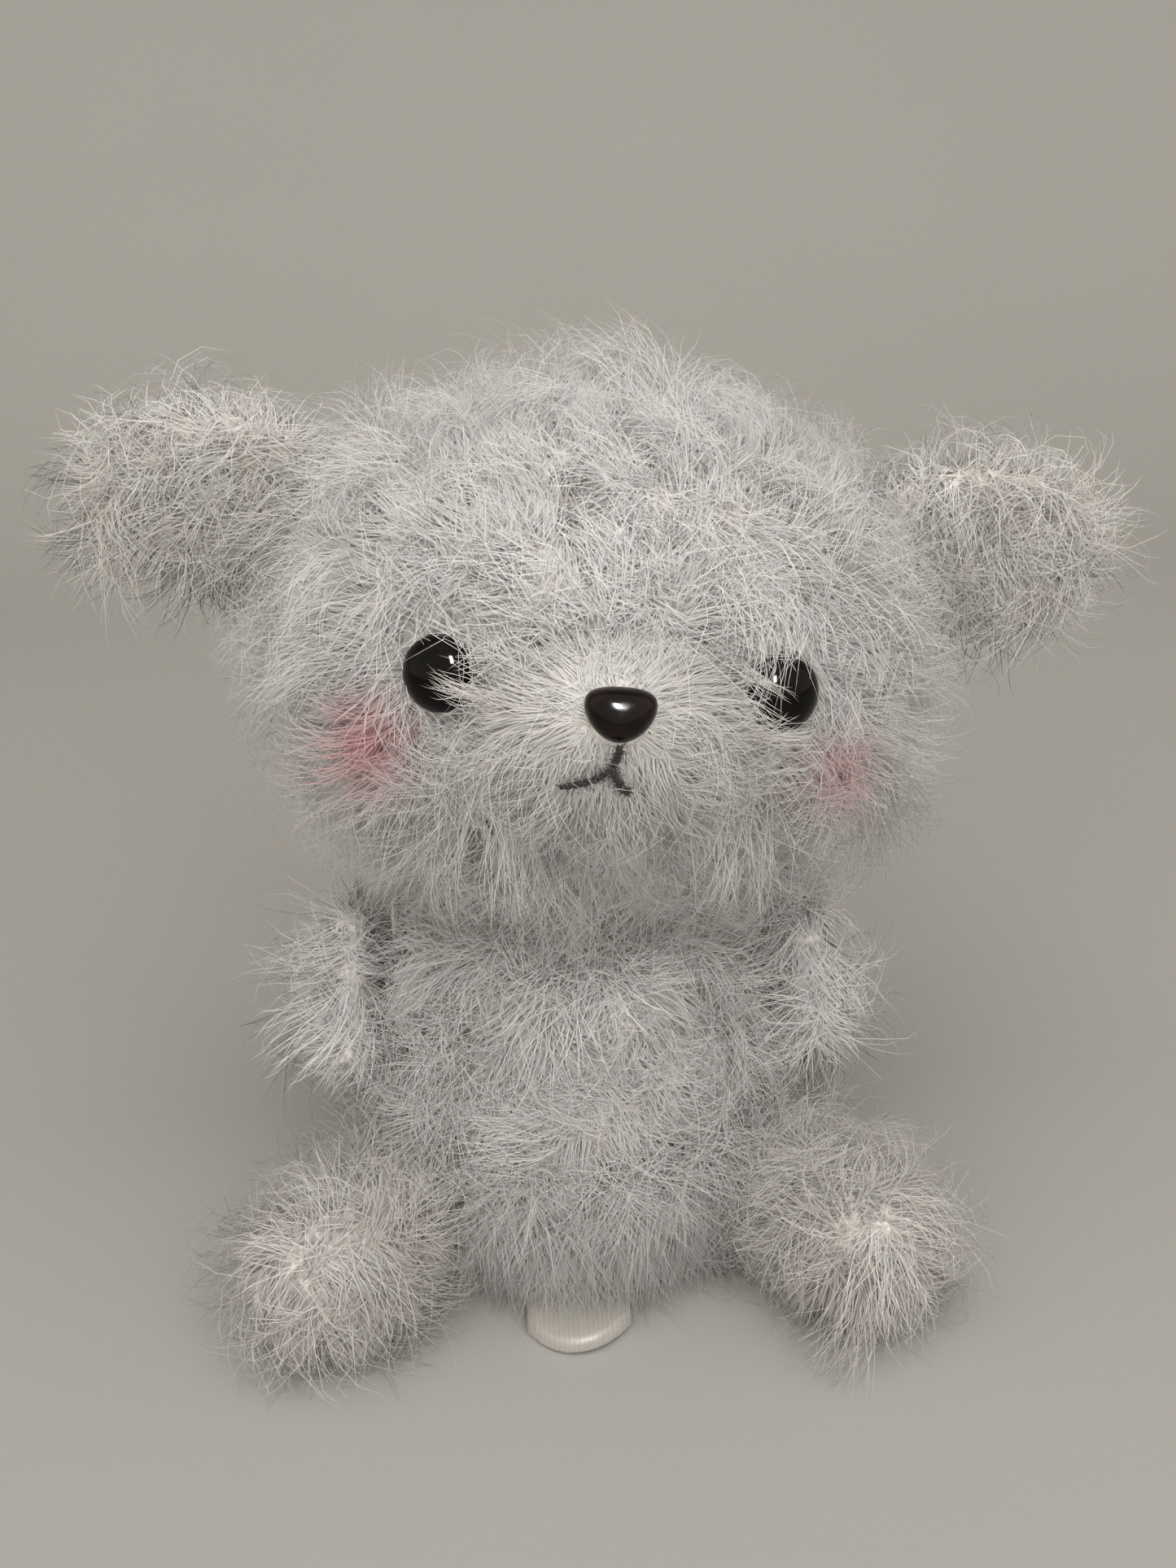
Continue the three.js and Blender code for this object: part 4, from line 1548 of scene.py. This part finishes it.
@dataclass
class Ear:
    """A soft flap: two panels sewn together, slightly cupped to the front."""

    kit: Kit
    side: Side
    length: float = 41 * MM
    width: float = 27 * MM
    thick: float = 12 * MM
    overlap: float = 5 * MM
    droop: float = 22.0
    cup: float = 1.6 * MM

    def place(self) -> Matrix:
        """The ear's own frame: Z up its seam, X outwards, from its joint."""
        joint = f"ear_{self.side.word}_flap"
        return frame_from(pivot_of(joint), axis_of(joint) * self.side.value)

    def build(self) -> Skin:
        """A flat egg, cupped by y = cup * (1 - (distance from its middle)^2), with its pile.

        Returns:
            The skin.
        """
        inset = 2.2 * MM
        half = np.array([self.length / 2, self.thick / 2, self.width / 2]) - inset
        points, corners = ellipsoid_surface(half, 26, 40)
        bowl = 1 - (points[:, 0] / half[0]) ** 2 - (points[:, 2] / half[2]) ** 2
        points[:, 1] += self.cup * bowl
        points[:, 0] += self.length / 2 - self.overlap
        points = placed(points, Matrix.Rotation(math.radians(self.droop), 4, "Y"))
        points[:, 0] *= self.side.value
        corners = corners[:, :: self.side.value]
        place = self.place()
        word = self.side.word
        skin = Skin(f"ear_{word}_skin", placed(points, place), corners)
        skin.sewn(self.kit.backing, f"ear_{word}", [f"ear_{word}_lining", f"ear_{word}_back"], 0.2)
        lean = math.radians(self.droop)
        tip = Vector((self.side.value * math.cos(lean), 0, -math.sin(lean)))
        outward = np.array(place.to_3x3() @ tip)

        def comb(roots: Array, normals: Array) -> Array:
            """Pile lies towards the tip and hangs."""
            return outward * 0.4 + np.array([0, 0, -0.25])

        def front(roots: Array, normals: Array) -> Array:
            """Roots on the lining."""
            return normals[:, 1] < 0.0

        def back(roots: Array, normals: Array) -> Array:
            """Roots on the outer panel and round the edge."""
            return normals[:, 1] >= -0.35

        soft = Layer(
            per_mm2=3.2, length=(4, 7.5), width=0.42, lift=(35, 80), joints=1, crimp=0, tuft=3.5,
            pull=0.3, sag=0.1, stray=0.6,
        )
        long = Layer(
            per_mm2=1.4, length=(9, 19), width=0.18, lift=(35, 80), joints=4, crimp=0.6, tuft=5.5,
            pull=0.45, sag=0.15, stray=0.4, roll=(50, 180),
        )
        seed = 3 if self.side is Side.LEFT else 4
        lining = Pile(f"ear_{word}_lining_pile", skin, (soft, long), comb, front, seed)
        lining.grow(self.kit.lining, f"ear_{word}")
        outer = Pile(f"ear_{word}_back_pile", skin, (soft, long), comb, back, seed + 20)
        outer.grow(self.kit.pile, f"ear_{word}")
        return skin


@dataclass
class Limb:
    """An arm or a leg: a stuffed tube with a rounder end, along its own -Y."""

    kit: Kit
    name: str
    joint: str
    direction: tuple[float, float, float]
    radius: float
    length: float
    swell: float
    seed: int
    voxel: float = 4 * MM

    def ends(self) -> tuple[Array, Array]:
        """The middles of the root and of the far end."""
        root = np.array(pivot_of(self.joint))
        return root, root + unit(np.array(self.direction)) * self.length

    def inside(self, points: Array, grow: float = 0.0) -> Array:
        """Whether points are within the limb, `grow` larger: nearer its axis than its radius.

        Args:
            points: n by 3, in metres.
            grow: how much larger the surface is taken.

        Returns:
            True for the points inside.
        """
        root, end = self.ends()
        axis = end - root
        t = np.clip((points - root) @ axis / (axis @ axis), 0, 1)
        return np.linalg.norm(points - root - t[:, None] * axis, axis=1) < self.radius + grow

    def build(self, body: "Body") -> Skin:
        """Sews the skin and grows its pile where it stands clear of the body.

        Args:
            body: the dog's body, which the limb's root is buried in.

        Returns:
            The skin.
        """
        inset = 2.4 * MM
        points, corners = limb_surface(self.radius - inset - 0.5 * MM, self.length, self.swell)
        root, end = self.ends()
        back = Vector(root - end).normalized()
        side = back.cross(Vector((0, 0, 1))).normalized()
        turn = Matrix((side, back, side.cross(back))).transposed().to_4x4()
        place = Matrix.Translation(Vector(root)) @ turn
        skin = Skin(f"{self.name}_skin", placed(points, place), corners).filled(self.voxel, 1.0 * MM)
        skin.points[:, 2] = np.maximum(skin.points[:, 2], 0.5 * MM)
        skin.lumpy(0.9 * MM, self.seed).sewn(self.kit.backing, self.name, [f"{self.name}_cover"], 0.8)
        along = unit(end - root)

        def comb(roots: Array, normals: Array) -> Array:
            """Pile lies towards the paw and hangs a little."""
            return along * 0.5 + np.array([0, 0, -0.3])

        def keep(roots: Array, normals: Array) -> Array:
            """Roots that aren't buried in the body."""
            return ~body.inside(roots, -3 * MM) & (roots[:, 2] > 1.2 * MM)

        # Legs take the darker pile, painted shade on the feet.
        finish = self.kit.worn if self.name.startswith("leg") else self.kit.pile
        Pile(f"{self.name}_pile", skin, COAT, comb, keep, self.seed).grow(finish, self.name)
        return skin


@dataclass
class Body:
    """The pear-shaped body that the dog sits on."""

    kit: Kit
    knots: tuple[tuple[float, float], ...] = (
        (22.0, 0.0),
        (32.0, 9.5),
        (34.0, 19.0),
        (30.0, 42.0),
        (27.5, 54.0),
        (17.0, 63.0),
    )
    depth_ratio: float = 1.08
    inset: float = 3 * MM

    def profile(self, inset: float) -> Array:
        """The side's (radius, height) curve, moved inwards by `inset`, closed on the axis.

        Args:
            inset: depth below the surface.

        Returns:
            (radius, height) pairs.
        """
        curve = smooth_curve(np.array(self.knots) * MM, 40)
        tangent = unit(np.gradient(curve, axis=0))
        curve = curve + inset * np.stack([-tangent[:, 1], tangent[:, 0]], -1)
        curve[:, 1] = np.maximum(curve[:, 1], 0.6 * MM)
        top = curve[-1, 1] + 1.5 * MM
        return np.concatenate([[[0, curve[0, 1]]], curve, [[curve[-1, 0] * 0.5, top], [0, top + 0.6 * MM]]])

    def inside(self, points: Array, grow: float = 0.0) -> Array:
        """Whether points are within the body's turned outline, `grow` larger.

        Args:
            points: n by 3, in metres.
            grow: how much larger the surface is taken.

        Returns:
            True for the points inside.
        """
        curve = self.profile(-grow)[1:-2]
        radius = np.hypot(points[:, 0], points[:, 1] / self.depth_ratio)
        order = np.argsort(curve[:, 1])
        edge = np.interp(points[:, 2], curve[order, 1], curve[order, 0], left=0, right=0)
        return radius < edge

    def build(self, legs: Sequence[Limb]) -> Skin:
        """Sews the skin and grows its pile.

        Args:
            legs: the limbs whose roots are buried in the body, under which no pile grows.

        Returns:
            The skin.
        """
        points, corners = turned_surface(self.profile(self.inset + 0.5 * MM), 64)
        points[:, 1] *= self.depth_ratio
        skin = Skin("body_skin", points, corners).filled(5 * MM, 1.2 * MM)
        skin.points[:, 2] = np.maximum(skin.points[:, 2], 0.5 * MM)
        skin.lumpy(1.3 * MM, 5.0)
        skin.points[:, 2] = np.maximum(skin.points[:, 2], 0.3 * MM)
        skin.sewn(self.kit.backing, "body", ["body_cover"], 0.75)

        def comb(roots: Array, normals: Array) -> Array:
            """Pile hangs down the body."""
            return np.broadcast_to(np.array([0, 0, -0.6]), roots.shape)

        def keep(roots: Array, normals: Array) -> Array:
            """Roots on the open sides, not under the seat or the legs.

            Args:
                roots: the feet of the strands.
                normals: the skin's outward normals there.

            Returns:
                True where a root stays.
            """
            clear = (roots[:, 2] > 1.5 * MM) & (normals[:, 2] > -0.85)
            for leg in legs:
                clear &= ~leg.inside(roots, -2 * MM)
            return clear

        def forward(roots: Array, normals: Array) -> Array:
            """The belly's fringe stands forwards and droops."""
            return np.stack([roots[:, 0] * 12, np.full(len(roots), -1.8), np.full(len(roots), 0.4)], -1)

        def low(roots: Array, normals: Array) -> Array:
            """Roots low on the belly, between the legs."""
            front = (roots[:, 1] < -18 * MM) & (np.abs(roots[:, 0]) < 27 * MM)
            return front & (roots[:, 2] > 4 * MM) & (roots[:, 2] < 21 * MM)

        def outward(roots: Array, normals: Array) -> Array:
            """Pile in the folds at the neck and behind the arms stands out and fills them."""
            return np.stack([roots[:, 0] * 8, np.full(len(roots), -0.4), np.full(len(roots), 0.1)], -1)

        def folds(roots: Array, normals: Array) -> Array:
            """Roots at the shoulders and under the arms."""
            return (roots[:, 2] > 52 * MM) | ((np.abs(roots[:, 0]) > 19 * MM) & (roots[:, 2] > 27 * MM))

        fringe = (
            Layer(
                per_mm2=3.0, length=(15, 22), width=0.36, lift=(10, 45), joints=2, crimp=0.3,
                tuft=4, pull=0.4, sag=0.4, stray=0.4, roll=(10, 40),
            ),
            Layer(
                per_mm2=1.7, length=(19, 27), width=0.17, lift=(10, 45), joints=4, crimp=0.6,
                tuft=6, pull=0.5, sag=0.5, stray=0.4, roll=(15, 60),
            ),
        )
        filler = (Layer(
            per_mm2=1.9, length=(13, 21), width=0.24, lift=(60, 88), joints=3, crimp=0.5, tuft=4,
            pull=0.3, sag=0.05, stray=0.5, roll=(30, 130),
        ),)
        Pile("body_pile", skin, COAT, comb, keep, 9).grow(self.kit.pile, "body")
        Pile("belly_fringe", skin, fringe, forward, low, 19, wild=0.8).grow(self.kit.pile, "body")
        Pile("shoulder_fill", skin, filler, outward, folds, 29).grow(self.kit.pile, "body")
        return skin


@dataclass
class Tail:
    """A small round tail."""

    kit: Kit
    radius: float = 9 * MM
    out: float = 9 * MM

    def build(self) -> Skin:
        """A ball at its joint, with pile all round except where it is sewn on.

        Returns:
            The skin.
        """
        pivot = np.array(pivot_of("tail_wag"))
        middle = pivot + np.array([0, self.out, 0])
        points, corners = ellipsoid_surface([self.radius - 2.4 * MM] * 3, 20, 32)
        skin = Skin("tail_skin", points + middle, corners)
        skin.sewn(self.kit.backing, "tail", ["tail_cover"], 0.7)

        def comb(roots: Array, normals: Array) -> Array:
            """Pile lies backwards and hangs."""
            return np.broadcast_to(np.array([0, 0.6, -0.3]), roots.shape)

        def keep(roots: Array, normals: Array) -> Array:
            """Roots behind the seam."""
            return roots[:, 1] > pivot[1]

        def shorten(roots: Array) -> Array:
            """The tail's pile is cut shorter than the rest."""
            return np.full(len(roots), 0.75)

        Pile("tail_pile", skin, COAT, comb, keep, 10, shorten=shorten).grow(self.kit.pile, "tail")
        return skin


@dataclass
class CareTag:
    """A blank care label: satin ribbon folded into a loop, its ends sewn under the belly."""

    width: float = 17 * MM
    length: float = 25 * MM
    ribbon: float = 0.3 * MM
    open_fold: float = 1.1 * MM
    round_end: float = 5.5 * MM
    fold_share: float = 0.16

    def path(self, steps: int = 60) -> Array:
        """Out along the floor, round the fold and back; the loop widens towards the fold.

        The fold is half a circle that takes up the middle sixth of the path.

        Args:
            steps: how many points.

        Returns:
            Pairs of (forward, height).
        """
        t = np.linspace(0, 1, steps)
        off = 2 * t - 1
        run = np.clip(1 - np.abs(off) * 1.08 + 0.08, 0, 1)
        swell = 0.45 * MM + self.open_fold * np.sin(math.pi / 2 * run) ** 3
        turn = off / self.fold_share * math.pi / 2
        top = swell[np.argmin(np.abs(t - (1 - self.fold_share) / 2))]
        fold = np.abs(off) < self.fold_share
        height = np.where(fold, -np.sin(turn) * top, np.where(t < 0.5, 1, -1) * swell)
        forward = (self.length - top) * np.where(fold, 1, run) + np.where(fold, np.cos(turn) * top, 0)
        return np.stack([forward, height], -1)

    def build(self) -> Piece:
        """Sweeps the ribbon's thin oblong along the path.

        Returns:
            The label.
        """
        low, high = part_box("care_tag")
        middle, back = (low[0] + high[0]) / 2, high[1]
        base = (low[2] + high[2]) / 2
        line = self.path()
        ahead = unit(np.gradient(line, axis=0))
        out = np.stack([-ahead[:, 1], ahead[:, 0]], -1) * self.ribbon / 2
        half = self.width / 2
        across = np.concatenate([np.linspace(-half, half, 9), np.linspace(half, -half, 9)])
        sign = np.concatenate([np.ones(9), -np.ones(9)])
        spot = line[:, None] + out[:, None] * sign[None, :, None]
        share = line[:, :1] / self.length
        bow = 0.5 * MM * np.sin(across / half * 2.2 + 0.4)[None] * share**2
        round_end = self.round_end * np.abs(across / half)[None] ** 2.2 * share**2
        rings = np.stack(
            [
                middle + np.broadcast_to(across, spot.shape[:2]),
                back - spot[..., 0] + round_end,
                np.maximum(base + spot[..., 1] + bow, 0.25 * MM),
            ],
            -1,
        )
        points, corners = stacked(rings, rings[0].mean(0), rings[-1].mean(0))
        piece = mesh_object("care_tag_ribbon", points, corners, [SatinRibbon().build()])
        attach(piece, "tag", "satin", "care_tag")
        return piece


@dataclass
class Hidden:
    """The pieces that stay as the frame gives them: fill, washers and seams."""

    def dress(self) -> int:
        """Gives each its finish.

        Returns:
            How many there are.
        """
        fill = WovenFinish("polyester_fibre_fill", "F6F6F3", "E2E2DE", 2.5, 0.95, 0.4).build()
        seam = WovenFinish("cotton_sewing_thread", "DDD8CF", "B4AEA4", 0.35, 0.85, 0.2).build()
        washer = MouldedPlastic(
            "matt_washer_plastic", "DEDBD2", "CFCBC1", roughness=0.5, gloss=0.5, grain_mm=0.4, grain=0.02
        ).build()
        done = 0
        for word, finish in (("stuffing", fill), ("washer", washer), ("seam", seam)):
            for name, piece in frame["nodes"].items():
                if word in name:
                    for place in piece.material_slots:
                        place.material = finish
                    done += 1
        return done


@dataclass
class Studio:
    """A plain pale floor, soft light and the camera."""

    spot: tuple[float, float, float] = (-0.0021, -0.2376, 0.1911)
    yaw: float = -1.4
    pitch: float = 25.4
    roll: float = -2.7
    focal: float = 1900.0
    frame_height: float = 1927.0
    behind: float = 0.35
    bend: float = 0.35

    def camera(self) -> None:
        """Places the camera from its yaw, pitch and roll, and sets its lens from the frame's height."""
        yaw, pitch, roll = (math.radians(a) for a in (self.yaw, self.pitch, self.roll))
        level = math.cos(pitch)
        ahead = Vector((-math.sin(yaw) * level, math.cos(yaw) * level, -math.sin(pitch)))
        right = Vector((math.cos(yaw), math.sin(yaw), 0))
        up = right.cross(ahead)
        x = right * math.cos(roll) + up * math.sin(roll)
        y = up * math.cos(roll) - right * math.sin(roll)
        data = bpy.data.cameras.new("camera")
        data.sensor_fit = "VERTICAL"
        data.sensor_height = 36.0
        data.lens = self.focal * 36.0 / self.frame_height
        data.clip_start = 0.005
        camera = bpy.data.objects.new("camera", data)
        bpy.context.scene.collection.objects.link(camera)
        camera.matrix_world = Matrix.Translation(self.spot) @ Matrix((x, y, -ahead)).transposed().to_4x4()
        bpy.context.scene.camera = camera

    def lamp(self, name: str, place: Sequence[float], size: tuple[float, float], power: float) -> Piece:
        """Adds a rectangular soft lamp that faces the dog.

        Args:
            name: the lamp's name.
            place: where it stands, in metres.
            size: its width and height.
            power: in watts.

        Returns:
            The lamp.
        """
        data = bpy.data.lights.new(name, "AREA")
        data.shape = "RECTANGLE"
        data.size, data.size_y = size
        data.energy = power
        lamp = bpy.data.objects.new(name, data)
        bpy.context.scene.collection.objects.link(lamp)
        aim = Vector((0, 0, 0.08)) - Vector(place)
        lamp.matrix_world = Matrix.Translation(place) @ aim.to_track_quat("-Z", "Y").to_matrix().to_4x4()
        return lamp

    def sweep(self) -> tuple[Array, Array]:
        """A floor that turns up into a wall: flat, then a quarter circle, then straight up.

        Returns:
            Points and triangles.
        """
        t = np.linspace(0, math.pi / 2, 24)
        bend = self.bend
        line = np.concatenate(
            [
                [[-3.0, 0.0]],
                np.stack([self.behind + bend * np.sin(t), bend - bend * np.cos(t)], -1),
                [[self.behind + bend, 3.0]],
            ]
        )
        across = np.array([-3.0, 3.0])
        rows = len(line)
        points = np.stack(
            [np.tile(across, rows), np.repeat(line[:, 0], 2), np.repeat(line[:, 1], 2)], -1
        )
        a = 2 * np.arange(rows - 1)[:, None]
        corners = np.concatenate([a + [0, 1, 3], a + [0, 3, 2]])
        return points, corners

    def build(self) -> None:
        """Floor, sky and lamps."""
        material, tree = blank_material("pale_paper_sweep")
        place = add_node(tree, "ShaderNodeTexCoord").outputs["Object"]
        cloud = add_node(tree, "ShaderNodeTexNoise", {"Vector": place, "Scale": 6.0, "Detail": 2.0})
        colour = mixed(tree, cloud.outputs["Fac"], linear("989691"), linear("93918C"))
        shader = add_node(tree, "ShaderNodeBsdfPrincipled", {"Base Color": colour, "Roughness": 0.8})
        add_node(tree, "ShaderNodeOutputMaterial", {"Surface": shader.outputs[0]})
        mesh_object("sweep", *self.sweep(), [material])
        world = bpy.data.worlds.new("soft_room")
        world.use_nodes = True
        world.node_tree.nodes["Background"].inputs["Color"].default_value = linear("F7F0E6")
        world.node_tree.nodes["Background"].inputs["Strength"].default_value = 1.05
        bpy.context.scene.world = world
        self.lamp("window", (0.02, -0.42, 0.8), (1.0, 0.8), 5.8).visible_glossy = False
        self.lamp("card", (0.05, -0.75, 0.12), (0.9, 0.5), 1.9).visible_glossy = False
        self.lamp("catchlight", (0.1, -0.75, 0.85), (0.14, 0.32), 24.0).visible_diffuse = False
        bpy.context.scene.view_settings.view_transform = "Standard"
        # White pile needs light to pass from fibre to fibre many times before it leaves.
        bpy.context.scene.cycles.diffuse_bounces = 8


def limbs(kit: Kit) -> list[Limb]:
    """The two arms and two legs.

    Args:
        kit: the shared finishes.

    Returns:
        Left arm, left leg, right arm and right leg.
    """
    found = []
    across, down = math.sin(LIMB_ANGLE), math.cos(LIMB_ANGLE)
    for side in Side:
        arm = (0.0, -across, -down)
        leg = (side.value * across, -down, 0.0)
        for name, joint, way, sizes, seed in (
            ("arm", "swing", arm, (7.6, 22, 0.8), 5),
            ("leg", "splay", leg, (13, 37, 0.3), 12),
        ):
            radius, length, swell = (size * MM for size in sizes)
            word = f"{name}_{side.word}"
            found.append(Limb(kit, word, f"{word}_{joint}", way, radius, length, swell, seed + side.value))
    return found


def main() -> None:
    """Builds the dog part by part."""
    logging.basicConfig(level=logging.INFO, format="%(name)s: %(message)s")
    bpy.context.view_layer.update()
    studio = Studio()
    studio.camera()
    head = Head()
    kit = Kit(head.blushes())
    head.kit = kit
    skin = head.build()
    LOG.info("head: skin of %d triangles and its pile", len(skin.corners))
    muzzle = Muzzle(head)
    muzzle.build()
    Eyes(head).build()
    Nose(muzzle).build()
    Mouth(muzzle).build()
    LOG.info("face: muzzle, eyes, nose and mouth")
    for side in Side:
        Ear(kit, side).build()
        LOG.info("ear %s", side.word)
    body = Body(kit)
    four = limbs(kit)
    body.build([limb for limb in four if "leg" in limb.name])
    for limb in four:
        limb.build(body)
        LOG.info("%s", limb.name)
    Tail(kit).build()
    CareTag().build()
    LOG.info("tail and tag; %d hidden pieces dressed", Hidden().dress())
    studio.build()
    faces = sum(len(o.data.polygons) for o in bpy.data.objects if o.type == "MESH" and not o.hide_render)
    LOG.info("%d faces in all", faces)


if __name__ == "__main__":
    main()
